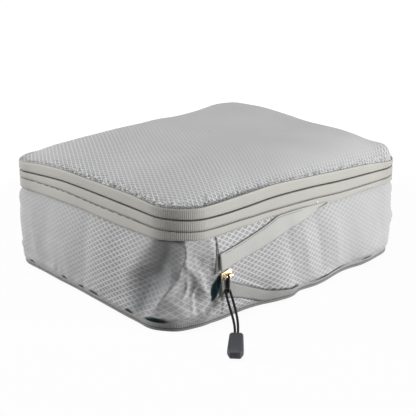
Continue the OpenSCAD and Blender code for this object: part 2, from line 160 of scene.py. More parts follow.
class Shader:
    """One material and the node tree that it is written in."""

    def __init__(self, name: str, **constants: Any) -> None:
        """Makes the material.

        Args:
            name: the material's name.
            constants: values set straight on the surface's sockets, with _ for a space.
        """
        self.material = bpy.data.materials.new(name)
        self.material.use_nodes = True
        self.tree = self.material.node_tree
        self.surface = self.tree.nodes["Principled BSDF"]
        for key, value in constants.items():
            self.surface.inputs[key.replace("_", " ")].default_value = value

    def put(self, socket: bpy.types.NodeSocket, value: Any) -> None:
        """Links a value to a socket, or sets a number or colour on it."""
        if isinstance(value, Value):
            self.tree.links.new(value.socket, socket)
        elif isinstance(value, tuple) and len(value) == 3 and socket.type == "RGBA":
            socket.default_value = (*value, 1.0)
        else:
            socket.default_value = value

    def node(self, kind: str, settings: dict[str, Any] | None = None,
             inputs: dict[int | str, Any] | None = None, output: int | str = 0) -> Value:
        """Adds a node.

        Args:
            kind: the node's type.
            settings: its own settings, which are set first.
            inputs: values or links of its sockets, by number or name.
            output: the socket that is handed back.

        Returns:
            The chosen output.
        """
        made = self.tree.nodes.new(kind)
        for key, value in (settings or {}).items():
            setattr(made, key, value)
        for key, value in (inputs or {}).items():
            self.put(made.inputs[key], value)
        return Value(self, made.outputs[output])

    def mix(self, share: Any, first: Any, second: Any) -> Value:
        """Blends two colours by a share from 0 to 1."""
        return self.node("ShaderNodeMix", {"data_type": "RGBA"}, {0: share, 6: first, 7: second}, 2)

    def across(self) -> tuple[Value, Value]:
        """The piece's own map: along u and across v."""
        place = self.node("ShaderNodeUVMap", {"uv_map": "map"})
        split = {0: place}
        return (self.node("ShaderNodeSeparateXYZ", None, split, 0),
                self.node("ShaderNodeSeparateXYZ", None, split, 1))

    def place(self) -> Value:
        """Object coordinates."""
        return self.node("ShaderNodeTexCoord", None, None, "Object")

    def mark(self, name: str) -> Value:
        """A painted attribute of the piece."""
        return self.node("ShaderNodeAttribute", {"attribute_name": name}, None, "Fac")

    def noise(self, scale: float, detail: float = 2.0) -> Value:
        """Even noise on object coordinates."""
        return self.node("ShaderNodeTexNoise", None,
                         {"Vector": self.place(), "Scale": scale, "Detail": detail}, 0)

    def bump(self, height: Value, distance: float, strength: float = 1.0) -> Value:
        """Surface relief from a height, in metres."""
        return self.node("ShaderNodeBump", None,
                         {"Height": height, "Distance": distance, "Strength": strength})

    def dress(self, **inputs: Any) -> bpy.types.Material:
        """Feeds the surface.

        Args:
            inputs: values by socket name, with _ for a space.

        Returns:
            The material.
        """
        for key, value in inputs.items():
            self.put(self.surface.inputs[key.replace("_", " ")], value)
        return self.material


class WorldShader(Shader):
    """The scene's background and the node tree that it is written in."""

    def __init__(self, name: str) -> None:
        """Makes the world and gives it to the scene."""
        world = bpy.data.worlds.new(name)
        bpy.context.scene.world = world
        world.use_nodes = True
        self.tree = world.node_tree
        self.surface = self.tree.nodes["Background"]


@dataclass(frozen=True)
class RipstopCloth:
    """Silver ripstop with raised threads in long diamonds."""

    name: str = "silver_ripstop"
    cell: Colour = (0.40, 0.40, 0.41)
    thread: Colour = (0.84, 0.84, 0.84)
    # dark teal colour of the painted shade in gaps, pockets and hollows
    hollow: Colour = (0.012, 0.030, 0.036)
    # colours of the painted shade flecks and painted glints on the top's puckered seam
    fleck: Colour = (0.15, 0.15, 0.155)
    glint: Colour = (0.86, 0.86, 0.86)
    pitch: float = 3.856
    slope: float = math.radians(30)
    weave: float = 0.55

    def material(self) -> bpy.types.Material:
        """Grid of bright threads over a darker, finer weave, with painted shade where it is marked, painted
        glints and shade flecks on the seam, and threads faded under painted sheen and shade.
        """
        shader = Shader(self.name, IOR=1.4, Specular_IOR_Level=0.08)
        u, v = shader.across()
        along, up = math.sin(self.slope) / (self.pitch * MM), math.cos(self.slope) / (self.pitch * MM)
        lines = []
        for slant in (u * along + v * up, u * along - v * up):
            off_line = abs(slant.frac() - 0.5) * 2.0
            lines.append(1.0 - off_line.ease(0.10, 0.40))
        # painted sheen and shade: the threads fade into an even tone where the light hides them
        threads = lines[0].greater(lines[1]) * (1.0 - shader.mark("calm") * 0.85)
        fine = 2.0 * math.pi / (self.weave * MM)
        weave = (u * fine).sine() * (v * fine).sine()
        tone = shader.noise(9.0, 3.0)
        cells = shader.mix(tone.ease(0.35, 0.65), self.cell, tuple(c * 1.12 for c in self.cell))
        bright = threads * (0.78 + weave * 0.06) + shader.mark("calm") * 0.29
        colour = shader.mix(bright, cells, self.thread)
        # painted light on the puckered seam: dark flecks of shade and bright glints
        spots, worn = shader.noise(620.0, 1.0), shader.mark("worn")
        colour = shader.mix(worn * spots.ease(0.52, 0.64), colour, self.fleck)
        colour = shader.mix(worn * (1.0 - spots.ease(0.36, 0.46)), colour, self.glint)
        # painted shade: gaps, pockets, hollows and seam puckers darken towards the dark teal colour
        colour = shader.mix(shader.mark("tuck"), colour, self.hollow)
        height = threads + weave * 0.05
        return shader.dress(Base_Color=colour, Roughness=0.66 - threads * 0.10 + tone * 0.06,
                            Normal=shader.bump(height, 0.00022, 0.9))


@dataclass(frozen=True)
class ZipTape:
    """Woven zip tape, ribbed where it bunches round the corners."""

    name: str
    face: Colour
    # colour of the painted shade lines along the edges, where the bands meet
    seam: Colour = (0.060, 0.060, 0.055)
    rib: float = 1.55
    # share of the width that each painted edge shade covers
    edge: float = 0.045

    def material(self) -> bpy.types.Material:
        """Fine upright ribs, darker between them where the tape bunches as painted crease shade, and painted
        shade lines along its edges.
        """
        shader = Shader(self.name, IOR=1.45, Sheen_Weight=0.2, Sheen_Roughness=0.5)
        u, v = shader.across()
        ribs = abs((u * (1.0 / (self.rib * MM))).frac() - 0.5) * 2.0
        fine = (u * (2.0 * math.pi / (0.5 * MM))).sine()
        bunch = shader.mark("bunch")
        tone = shader.noise(14.0, 3.0)
        dark = tuple(c * 0.52 for c in self.face)
        colour = shader.mix(tone.ease(0.3, 0.7), tuple(c * 0.95 for c in self.face), self.face)
        # darker between the ribs: the weave a little, and painted crease shade where the tape bunches
        colour = shader.mix((1.0 - ribs) * (0.10 + bunch * 0.55), colour, dark)
        # painted shade: the groove between bands, darkened along both edges
        rim = 1.0 - (0.5 - abs(v - 0.5)).ease(self.edge * 0.5, self.edge * 1.7)
        colour = shader.mix(rim * 0.70, colour, self.seam)
        height = ribs * (0.25 + bunch) + fine * 0.10
        return shader.dress(Base_Color=colour, Roughness=0.78 + tone * 0.10,
                            Normal=shader.bump(height, 0.00022, 0.8))


@dataclass(frozen=True)
class WovenTrim:
    """Matt binding and piping cloth."""

    name: str
    face: Colour

    def material(self) -> bpy.types.Material:
        """Slanting twill over a soft change of tone."""
        shader = Shader(self.name, IOR=1.45, Sheen_Weight=0.2)
        u, v = shader.across()
        twill = abs(((u + v) * (1.0 / (0.9 * MM))).frac() - 0.5) * 2.0
        tone = shader.noise(40.0, 3.0)
        colour = shader.mix(twill, tuple(c * 0.72 for c in self.face), self.face)
        colour = shader.mix(tone.ease(0.3, 0.7) * 0.35, colour, tuple(c * 0.7 for c in self.face))
        return shader.dress(Base_Color=colour, Roughness=0.80 + tone * 0.1,
                            Normal=shader.bump(twill, 0.00015, 0.7))


@dataclass(frozen=True)
class Moulded:
    """Nylon, thread and moulded plastic, with a faint grain."""

    name: str
    face: Colour
    roughness: float
    grain: float = 900.0
    relief: float = 0.00004
    # how much paler the patches of wear are
    worn: float = 1.25

    def material(self) -> bpy.types.Material:
        """Even colour with a fine grain and slightly paler patches."""
        shader = Shader(self.name, IOR=1.47)
        grain = shader.noise(self.grain, 2.0)
        patch = shader.noise(60.0, 3.0)
        colour = shader.mix(patch.ease(0.4, 0.75), self.face, tuple(c * self.worn for c in self.face))
        return shader.dress(Base_Color=colour, Roughness=self.roughness + patch * 0.12,
                            Normal=shader.bump(grain, self.relief, 0.6))


@dataclass(frozen=True)
class Plated:
    """Plated metal with fine polishing marks."""

    name: str
    face: Colour
    roughness: float

    def material(self) -> bpy.types.Material:
        """Bright metal, duller in patches."""
        shader = Shader(self.name, Metallic=1.0)
        patch = shader.noise(220.0, 3.0)
        marks = shader.noise(2400.0, 1.0)
        colour = shader.mix(patch.ease(0.45, 0.8), self.face, tuple(c * 0.78 for c in self.face))
        return shader.dress(Base_Color=colour, Roughness=self.roughness + patch * 0.12,
                            Normal=shader.bump(marks, 0.00001, 0.4))


@dataclass(frozen=True)
class BraidedCord:
    """Black braided cord."""

    name: str = "black_braid"
    face: Colour = (0.006, 0.006, 0.007)
    strand: Colour = (0.018, 0.018, 0.020)

    def material(self) -> bpy.types.Material:
        """Two sets of strands that cross round the cord."""
        shader = Shader(self.name, IOR=1.4, Specular_IOR_Level=0.2)
        u, v = shader.across()
        braid = []
        for slant in (u * 420.0 + v * 4.0, u * 420.0 - v * 4.0):
            braid.append(abs(slant.frac() - 0.5) * 2.0)
        height = braid[0].greater(braid[1])
        colour = shader.mix(height.ease(0.45, 1.0), self.face, self.strand)
        return shader.dress(Base_Color=colour, Roughness=0.72 - height * 0.12,
                            Normal=shader.bump(height, 0.00018, 0.8))


class Finishes:
    """Every material of the cube, made once."""

    def __init__(self) -> None:
        """Builds the materials."""
        self.cloth = RipstopCloth().material()
        # edge: how wide each tape's painted edge shade is
        self.tape = ZipTape("warm_grey_tape", (0.62, 0.61, 0.565)).material()
        self.base_tape = ZipTape("base_grey_tape", (0.47, 0.47, 0.46), edge=0.09).material()
        self.lead_tape = ZipTape("lead_grey_tape", (0.62, 0.62, 0.59), edge=0.02).material()
        self.low_lead_tape = ZipTape("low_lead_grey_tape", (0.42, 0.42, 0.41), edge=0.035).material()
        self.trim = WovenTrim("woven_trim", (0.36, 0.36, 0.355)).material()
        self.join = WovenTrim("join_strip", (0.34, 0.345, 0.34)).material()
        self.coil = Moulded("nylon_coil", (0.30, 0.30, 0.28), 0.40).material()
        self.thread = Moulded("sewing_thread", (0.17, 0.17, 0.16), 0.65).material()
        self.brass = Plated("pale_gold_plate", (0.90, 0.76, 0.52), 0.24).material()
        self.tab = Plated("dark_bronze_plate", (0.035, 0.030, 0.028), 0.34).material()
        self.stops = Plated("grey_painted_stop", (0.40, 0.40, 0.39), 0.42).material()
        self.cord = BraidedCord().material()
        self.grip = Moulded("charcoal_grip", (0.030, 0.033, 0.040), 0.42, 500.0, 0.00006, 1.5).material()


def smooth_step(t: Array) -> Array:
    """Smooth step from 0 to 1."""
    t = np.clip(t, 0.0, 1.0)
    return t * t * (3 - 2 * t)


def bell(x: Array, width: Array | float, power: int = 2) -> Array:
    """1 in the middle, falling away on both sides over a width."""
    return np.exp(-(x / width) ** power)


@dataclass(frozen=True)
class Outline:
    """Rounded rectangle of the bag in plan."""

    length: float
    depth: float
    radius: float

    @property
    def runs(self) -> list[float]:
        """Lengths of the four sides and corners in walking order, from the front."""
        side = (self.length - 2 * self.radius, self.depth - 2 * self.radius)
        corner = math.pi / 2 * self.radius
        return [side[0], corner, side[1], corner] * 2

    @property
    def around(self) -> float:
        """Length of the whole walk."""
        return sum(self.runs)

    def walk(self, s: Array) -> tuple[Array, Array]:
        """Places on the outline.

        Args:
            s: ways round from the front's left end.

        Returns:
            Points and outward directions, as rows of x and y.
        """
        starts = np.concatenate([[0.0], np.cumsum(self.runs)])
        s = np.mod(s, self.around)
        leg = np.clip(np.searchsorted(starts, s, side="right") - 1, 0, 7)
        rest = s - starts[leg]
        side, arc = leg // 2, leg % 2
        angle = np.radians(side * 90.0 - 90.0) + np.where(arc == 1, rest / self.radius, 0.0)
        out = np.stack([np.cos(angle), np.sin(angle)], 1)
        half = np.array([self.length / 2 - self.radius, self.depth / 2 - self.radius])
        centres = half * np.array([[-1, -1], [1, -1], [1, 1], [-1, 1]])
        along = np.stack([-out[:, 1], out[:, 0]], 1)
        step = np.where(arc == 0, rest, 0.0)[:, None]
        return centres[(side + arc) % 4] + self.radius * out + along * step, out

    def past(self, s: Array, start: float = 0.0) -> Array:
        """Way round from a start, taken the shorter way and so negative on its left."""
        return (s - start + self.around / 2) % self.around - self.around / 2

    def corner_share(self, s: Array, fade: float) -> Array:
        """1 round the corners, fading to 0 along the sides.

        Args:
            s: ways round.
            fade: length of the fade in millimetres.

        Returns:
            A share for each way round.
        """
        starts = np.concatenate([[0.0], np.cumsum(self.runs)])
        s = np.mod(s, self.around)
        share = np.zeros_like(s)
        for k in (1, 3, 5, 7):
            middle = (starts[k] + starts[k + 1]) / 2
            gap = np.abs(self.past(s, middle))
            share = np.maximum(share, 1 - smooth_step((gap - self.runs[k] / 2 + fade / 2) / fade))
        return share


@dataclass(frozen=True)
class Track:
    """A height or an offset that runs round the bag through a few marks."""

    marks: tuple[tuple[float, float], ...]
    soften: float = 9.0

    def at(self, s: Array, around: float) -> Array:
        """The smoothed value at each way round.

        Args:
            s: ways round.
            around: length of the whole walk.

        Returns:
            A value for each way round.
        """
        count = 1024
        grid = np.arange(count) * around / count
        places = np.array([m[0] for m in self.marks]) % around
        order = np.argsort(places)
        values = np.array([m[1] for m in self.marks])[order]
        raw = np.interp(grid, places[order], values, period=around)
        waves = np.fft.rfftfreq(count, around / count)
        smooth = np.fft.irfft(np.fft.rfft(raw) * np.exp(-2 * (math.pi * waves * self.soften) ** 2), count)
        return np.interp(np.mod(s, around), grid, smooth, period=around)


@dataclass(frozen=True)
class Course:
    """A value that goes straight from mark to mark, each a place and the value there."""

    marks: tuple[tuple[float, float], ...]

    def at(self, place: Array) -> Array:
        """The value at each place."""
        return np.interp(place, *np.array(self.marks).T)


class Crumple:
    """Seeded lattice noise for folds and puckers."""

    def __init__(self, seed: int) -> None:
        """Draws the lattice."""
        self.side = 256
        self.lattice = np.random.default_rng(seed).uniform(-1.0, 1.0, (self.side, self.side))

    def soft(self, x: Array, y: Array) -> Array:
        """Smooth noise from -1 to 1, one lump per unit.

        Args:
            x: places along, in lumps.
            y: places across, in lumps.

        Returns:
            The noise at each place.
        """
        x, y = np.broadcast_arrays(x, y)
        i, j = np.floor(x).astype(int), np.floor(y).astype(int)
        a, b = smooth_step(x - i), smooth_step(y - j)
        left, right = i % self.side, (i + 1) % self.side
        rows = []
        for row in (j % self.side, (j + 1) % self.side):
            rows.append(self.lattice[left, row] * (1 - a) + self.lattice[right, row] * a)
        return rows[0] * (1 - b) + rows[1] * b

    def creased(self, x: Array, y: Array) -> Array:
        """Facets between sharp ridges, from about -0.5 to 0.5.

        Args:
            x: places along, in facets.
            y: places across, in facets.

        Returns:
            The height at each place.
        """
        bend_x = x + 0.45 * self.soft(x * 0.7 + 11.3, y * 0.7 + 4.1)
        bend_y = y + 0.45 * self.soft(x * 0.7 + 31.9, y * 0.7 + 27.7)
        first = 1 - 2 * np.abs(self.soft(bend_x, bend_y))
        second = 1 - 2 * np.abs(self.soft(bend_x * 2.1 + 7.7, bend_y * 2.1 + 3.3))
        return 0.35 * first + 0.15 * second


def link(obj: Object) -> Object:
    """Puts an object in the scene."""
    bpy.context.scene.collection.objects.link(obj)
    return obj


def grid_mesh(name: str, points: Array, places: Array, material: bpy.types.Material, wrap_s: bool = False,
              wrap_v: bool = False, marks: dict[str, Array] | None = None) -> Object:
    """A smooth mesh from a grid of points.

    Args:
        name: the piece's name.
        points: grid of points in millimetres, first along, then across.
        places: the map's values at the grid's points, in metres, with one more row or column where it wraps.
        material: its finish.
        wrap_s: the last row joins the first.
        wrap_v: the last column joins the first.
        marks: painted attributes, one number for each point.

    Returns:
        The object, at the origin.
    """
    n, m = points.shape[:2]
    i, j = np.meshgrid(np.arange(n if wrap_s else n - 1), np.arange(m if wrap_v else m - 1), indexing="ij")
    i, j = i.ravel(), j.ravel()
    corners = [(i, j), (i + 1, j), (i + 1, j + 1), (i, j + 1)]
    faces = np.stack([(a % n) * m + b % m for a, b in corners], 1)
    spots = np.stack([places[a, b] for a, b in corners], 1)
    mesh = bpy.data.meshes.new(name)
    mesh.from_pydata((points.reshape(-1, 3) * MM).tolist(), [], faces.tolist())
    mesh.uv_layers.new(name="map").data.foreach_set("uv", spots.astype(np.float32).ravel())
    for key, values in (marks or {}).items():
        layer = mesh.attributes.new(key, "FLOAT", "POINT")
        layer.data.foreach_set("value", values.astype(np.float32).ravel())
    mesh.polygons.foreach_set("use_smooth", np.ones(len(faces), bool))
    mesh.materials.append(material)
    mesh.update()
    return link(bpy.data.objects.new(name, mesh))


def thicken(obj: Object, thickness: float) -> Object:
    """Gives a sheet its thickness, inwards from its face."""
    solid = obj.modifiers.new("thickness", "SOLIDIFY")
    solid.thickness = thickness * MM
    solid.offset = -1.0
    return obj


def close_middle(cloth: Object, columns: int, rows: int) -> None:
    """Fills the small opening in the middle of a panel laid in rings.

    Args:
        cloth: the panel.
        columns: points in a ring.
        rows: rings.
    """
    body = bmesh.new()
    body.from_mesh(cloth.data)
    body.verts.ensure_lookup_table()
    loop = [body.verts[k * rows + rows - 1] for k in range(columns)]
    layer = body.loops.layers.uv["map"]
    middle = body.verts.new(sum((v.co for v in loop), Vector()) / columns)
    for k, vert in enumerate(loop):
        face = body.faces.new((vert, loop[(k + 1) % columns], middle))
        face.smooth = True
        for corner in face.loops:
            corner[layer].uv = corner.vert.co.xy
    body.to_mesh(cloth.data)
    body.free()


@dataclass(frozen=True)
class Squeeze:
    """Values for soft pieces that lie under the compression zip; it gives each piece its own copy of its
    mesh.
    """

    joint: str = "compress"
    foot: float = 8.4
    keep: float = 0.20

    def on(self, obj: Object) -> None:
        """Gives a piece its own copy of its mesh."""
        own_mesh(obj)


def settle(obj: Object, body: Body, slot: Slot, *nodes: str, squeeze: bool = False) -> Object:
    """Seats a finished piece on its body.

    Args:
        obj: the piece.
        body: the body that it moves with.
        slot: the record's material slot; not used.
        nodes: the solids that it stands for.
        squeeze: the piece is soft and gets its own copy of its mesh.

    Returns:
        The piece.
    """
    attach(obj, body.value)
    if nodes:
        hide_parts(*nodes)
    if squeeze:
        Squeeze().on(obj)
    LOG.info("piece %s rides on %s", obj.name, body.value)
    return obj


@dataclass(frozen=True)
class Spread:
    """What is set along a line: its spacing, and its length, width and height."""

    spacing: float
    size: tuple[float, float, float]


ZIP_TURN = Spread(1.35, (0.85, 2.4, 1.5))
LEAD_TURN = Spread(1.35, (0.85, 2.3, 1.3))
BAND_STITCH = Spread(2.9, (2.0, 0.42, 0.34))
LID_STITCH = Spread(2.6, (1.9, 0.42, 0.42))


class RepeatTree:
    """Geometry Nodes tree that sets small rounded bodies along a line, such as stitches and coil turns."""

    def __init__(self) -> None:
        """Builds the tree with named inputs for spacing, size and material."""
        self.tree = bpy.data.node_groups.new("set_along_line", "GeometryNodeTree")
        face = self.tree.interface
        face.new_socket("Line", in_out="INPUT", socket_type="NodeSocketGeometry")
        self.spacing = face.new_socket("Spacing", in_out="INPUT", socket_type="NodeSocketFloat").identifier
        self.size = face.new_socket("Size", in_out="INPUT", socket_type="NodeSocketVector").identifier
        self.finish = face.new_socket("Finish", in_out="INPUT", socket_type="NodeSocketMaterial").identifier
        face.new_socket("Pieces", in_out="OUTPUT", socket_type="NodeSocketGeometry")
        start = self._node("NodeGroupInput")
        line = self._node("GeometryNodeMeshToCurve", {}, {0: start.outputs["Line"]})
        points = self._node("GeometryNodeResampleCurve", {"mode": "LENGTH"}, {0: line.outputs[0]})
        self._join(start.outputs["Spacing"], points.inputs["Length"])
        tangent = self._node("GeometryNodeInputTangent")
        out = self._node("GeometryNodeInputNamedAttribute", {"data_type": "FLOAT_VECTOR"}, {0: "out"})
        first = self._node("FunctionNodeAlignRotationToVector", {"axis": "X"},
                           {"Vector": tangent.outputs[0]})
        both = self._node("FunctionNodeAlignRotationToVector", {"axis": "Z", "pivot_axis": "X"},
                          {"Rotation": first.outputs[0], "Vector": out.outputs[0]})
        body = self._node("GeometryNodeMeshIcoSphere", {}, {"Radius": 0.5, "Subdivisions": 2})
        spread = self._node("GeometryNodeInstanceOnPoints", {},
                            {"Points": points.outputs[0], "Instance": body.outputs[0],
                             "Rotation": both.outputs[0], "Scale": start.outputs["Size"]})
        real = self._node("GeometryNodeRealizeInstances", {}, {0: spread.outputs[0]})
        soft = self._node("GeometryNodeSetShadeSmooth", {}, {0: real.outputs[0]})
        dressed = self._node("GeometryNodeSetMaterial", {},
                             {0: soft.outputs[0], "Material": start.outputs["Finish"]})
        self._node("NodeGroupOutput", {}, {0: dressed.outputs[0]})

    def _node(self, kind: str, settings: dict[str, Any] | None = None,
              inputs: dict[int | str, Any] | None = None) -> bpy.types.Node:
        """Adds a node, its settings first and then its inputs."""
        made = self.tree.nodes.new(kind)
        for key, value in (settings or {}).items():
            setattr(made, key, value)
        for key, value in (inputs or {}).items():
            if isinstance(value, bpy.types.NodeSocket):
                self._join(value, made.inputs[key])
            else:
                made.inputs[key].default_value = value
        return made

    def _join(self, source: bpy.types.NodeSocket, target: bpy.types.NodeSocket) -> None:
        """Links two sockets."""
        self.tree.links.new(source, target)

    def along(self, name: str, points: Array, out: Array, closed: bool, spread: Spread,
              material: bpy.types.Material) -> Object:
        """Sets pieces along a line.

        Args:
            name: the new piece's name.
            points: the line's points in millimetres.
            out: outward directions at those points.
            closed: the line joins its own start.
            spread: spacing and size of the pieces, in millimetres.
            material: its finish.

        Returns:
            One plain mesh object.
        """
        count = len(points)
        edges = [(k, (k + 1) % count) for k in range(count if closed else count - 1)]
        mesh = bpy.data.meshes.new(name + "_line")
        mesh.from_pydata((points * MM).tolist(), edges, [])
        layer = mesh.attributes.new("out", "FLOAT_VECTOR", "POINT")
        layer.data.foreach_set("vector", out.astype(np.float32).ravel())
        guide = link(bpy.data.objects.new(name + "_line", mesh))
        modifier = guide.modifiers.new("set_along_line", "NODES")
        modifier.node_group = self.tree
        modifier[self.spacing] = spread.spacing * MM
        modifier[self.size] = tuple(v * MM for v in spread.size)
        modifier[self.finish] = material
        graph = bpy.context.evaluated_depsgraph_get()
        made = bpy.data.meshes.new_from_object(guide.evaluated_get(graph))
        guide.modifiers.remove(modifier)
        bpy.data.objects.remove(guide)
        made.name = name
        return link(bpy.data.objects.new(name, made))


@dataclass(frozen=True)
class BagForm:
    """The stuffed bag's form: its outline, the wavy lines of its tapes and the swell of its wall."""

    outline: Outline
    base_top: float = 8.4
    zip_line: float = 92.8
    rim: Track = Track((
        (-250, 101.5), (-218, 105), (-176, 107), (-122, 105.5), (-68, 104.3), (-46, 101.2), (-22, 100.6),
        (0, 100), (37, 101.8), (77, 104), (142, 101.6), (204, 99.5), (254, 95.5), (300, 99.5), (380, 102.5),
        (470, 102), (510, 102), (640, 103), (760, 102.5)))
    zip_gap: Track = Track((
        (-250, 92.6), (-172, 96), (-122, 95), (-68, 93), (-40, 92), (-21, 91), (8, 89.6), (30, 89.8),
        (79, 92.6), (124, 92), (164, 90.2), (216, 89.3), (252, 89.8), (284, 92.2), (304, 92.8), (380, 92.8),
        (460, 92.8), (500, 92.8), (640, 92.8), (760, 92.8)))
    middle: Track = Track((
        (-250, 86.2), (-172, 86.8), (-124, 84.6), (-68, 83.3), (-34, 82.3), (8, 79.9), (38, 80.5), (88, 80.9),
        (134, 80.2), (164, 78.8), (206, 78.6), (254, 80.2), (300, 83), (340, 83.5), (640, 83.5), (760, 83.8)))
    lower: Track = Track((
        (-250, 75.6), (-222, 75.6), (-148, 75.6), (-90, 73), (-40, 73.6), (-21, 74.4), (12, 72), (54, 74.2),
        (104, 75.4), (165, 72.2), (207, 73), (252, 73.8), (300, 75), (640, 75), (760, 75.4)))
    foot_out: Track = Track((
        (-253, 2.4), (-237, 3.6), (-208, 3.6), (-179, 4.8), (-152, 4.8), (-126, 5.9), (-100, 7), (-76, 8),
        (-55, 8.2), (-43, 9.6), (-34, 6.6), (-27, 7.4), (-18, 3), (-8, 1.4), (4, 1.4), (14, 2.6), (41, 1.3),
        (59, 3.6), (74, 8.4), (93, 11.4), (106, 6), (118, 7.4), (128, 9), (141, 8), (155, 5.4), (171, 2.8),
        (184, 3), (199, 5.4), (213, 5), (238, 1.4), (254, 0.8), (330, 3.5), (400, 5), (470, 3.5), (505, 1.5),
        (560, 4), (640, 6), (720, 4)), 4.0)
    band_out: Track = Track((
        (-330, 0), (-300, 0.6), (-278, 2.8), (-255, 3.0), (-232, 1.6), (-205, 0), (0, 0), (225, 0),
        (248, 1.4), (266, 3.4), (286, 2.0), (310, 0), (420, 0)), 7.0)

    def line(self, track: Track, s: Array) -> Array:
        """A track's value at each way round."""
        return track.at(s, self.outline.around)

    def lay(self, s: Array, offset: Array, z: Array) -> Array:
        """Points at ways round, offsets outwards and heights, which broadcast together.

        Args:
            s: ways round.
            offset: distances outwards from the outline.
            z: heights.

        Returns:
            Points in millimetres, in the shape of the three together.
        """
        s, offset, z = np.broadcast_arrays(s, offset, z)
        at, out = self.outline.walk(s.ravel())
        flat = at + out * offset.reshape(-1, 1)
        return np.concatenate([flat, z.reshape(-1, 1)], 1).reshape(*s.shape, 3)

    def outward(self, s: Array) -> Array:
        """Outward directions at ways round."""
        out = self.outline.walk(s)[1]
        return np.concatenate([out, np.zeros((len(s), 1))], 1)


@dataclass(frozen=True)
class Fold:
    """One fold of the wall: a line between two places, its widths on both sides and its height."""

    start: tuple[float, float]
    end: tuple[float, float]
    left: float
    right: float
    height: float
    sharp: float = 1.0

    def on(self, s: Array, z: Array) -> Array:
        """Outward move of the wall at each place.

        Args:
            s: ways round.
            z: heights.

        Returns:
            Moves in millimetres, negative for a valley.
        """
        a, b = np.array(self.start), np.array(self.end)
        d = b - a
        size = float(np.hypot(*d))
        t = ((s - a[0]) * d[0] + (z - a[1]) * d[1]) / size ** 2
        side = ((s - a[0]) * d[1] - (z - a[1]) * d[0]) / size
        past = np.maximum(np.maximum(-t, t - 1), 0) * size
        width = np.where(side < 0, self.left, self.right)
        reach = np.sqrt((side / width) ** 2 + (past / (0.5 * (self.left + self.right))) ** 2)
        taper = 0.35 + 0.65 * np.sqrt(np.clip(np.sin(math.pi * np.clip(t, 0.02, 0.98)), 0, 1))
        return self.height * taper * np.exp(-np.power(reach + 1e-6, self.sharp + 1.0))


UP_SEWN = Course(((5, 58.6), (30, 63), (60, 69.9), (84, 76.3), (96, 79), (160, 79)))
UP_COIL = Course(((9, 44.5), (18.5, 46.8), (48, 51.9), (76.5, 58.4), (108, 64.9), (135, 69.8), (162, 73.4)))
LOW_COIL = Course(((9, 38.6), (11.5, 37.8), (34, 26.4), (61.5, 14.2), (87.5, 9.4), (110, 8)))
LOW_SEWN = Course(((9, 23.4), (12.5, 22.2), (29.5, 16.7), (47.5, 9.4), (58, 4.4), (110, 3.4)))

FOLDS: tuple[Fold, ...] = (
    Fold((-22, 40), (-31, 21), 3, 4, -0.8, 0.1),
    Fold((-52, 20), (-26, 37), 7, 9, 1.5, 0.4),
    Fold((-11, 59), (-3, 52), 5, 8, -2.0, 0.1),
    Fold((-17, 58), (-11, 48), 6, 7, 0.5, 0.1),
    Fold((-11, 30), (-12, 15), 3.5, 5, -1.5, 0.1),
    Fold((-9, 39), (0.5, 20), 5, 5, 1.3, 0.1),
    Fold((-34, 26), (-20, 16), 7, 7, 2.4, 0.1),
    Fold((-58, 16), (-37, 8), 8, 6, -2.4, 0.4),
    Fold((6, 42), (4, 18), 4, 4, -1.8, 0.3),
    Fold((31, 35), (68, 15), 3, 6, -1.7, 0.1),
    Fold((91, 66), (96, 8), 7, 10, -3.0, 0.5),
    Fold((111, 60), (116, 10), 7, 8, 2.0, 0.5),
    Fold((130, 66), (135.5, 16), 8, 11, -2.8, 0.5),
    Fold((154, 56), (160, 12), 9, 10, 1.8, 0.6),
    Fold((184, 6), (234, 26), 6, 12, 4.2, 0.2),
    Fold((198, 32), (242, 62), 16, 16, -1.8),
    Fold((60, 32), (82, 50), 8, 10, -1.2, 0.5),
    Fold((-136, 75), (-133, 12), 9, 12, -1.5, 0.5),
    Fold((-201, 74), (-199.5, 20), 12, 14, -1.2, 0.7),
    Fold((-93, 75), (-75, 12), 14, 14, -1.5, 0.7),
    Fold((-170, 44), (-152, 14), 10, 10, 1.2, 0.5),
    Fold((-226, 60), (-214, 16), 9, 9, 1.3, 0.5),
    Fold((262, 76), (262, 60), 14, 14, 3.0),
    Fold((-262, 77), (-261, 56), 16, 16, 4.2),
    Fold((274, 50), (268, 20), 8, 9, -2.4, 0.6),
    Fold((252, 40), (284, 20), 6, 8, 2.8, 0.2),
    Fold((318, 70), (330, 12), 9, 12, -1.8, 0.5),
    Fold((372, 64), (366, 10), 8, 10, 1.6, 0.5),
    Fold((420, 70), (432, 16), 10, 10, -1.9, 0.5),
    Fold((490, 66), (500, 14), 10, 12, -3.2, 0.5),
    Fold((478, 30), (512, 44), 7, 8, 2.6, 0.2),
    Fold((560, 70), (552, 10), 10, 9, -1.9, 0.5),
    Fold((610, 60), (622, 12), 8, 10, 1.4, 0.5),
    Fold((668, 70), (662, 14), 10, 12, -2.0, 0.5),
    Fold((720, 60), (712, 10), 9, 9, 1.4, 0.5),
    Fold((744, 30), (764, 14), 7, 8, 2.0, 0.2),
)


@dataclass(frozen=True)
class GapShade:
    """Painted shade in a gap beside a seam: its middle, half its length and height, and how dark it is."""

    at: float
    half: float
    tall: float
    dark: float = 1.0
    core: float = 0.65
    soft: float = 0.5

    def on(self, s: Array, up: Array) -> Array:
        """Painted darkness at ways round and heights from the seam."""
        reach = np.sqrt(((s - self.at) / self.half) ** 2 + (up / self.tall) ** 2)
        return self.dark * (1 - smooth_step((reach - self.core) / self.soft))


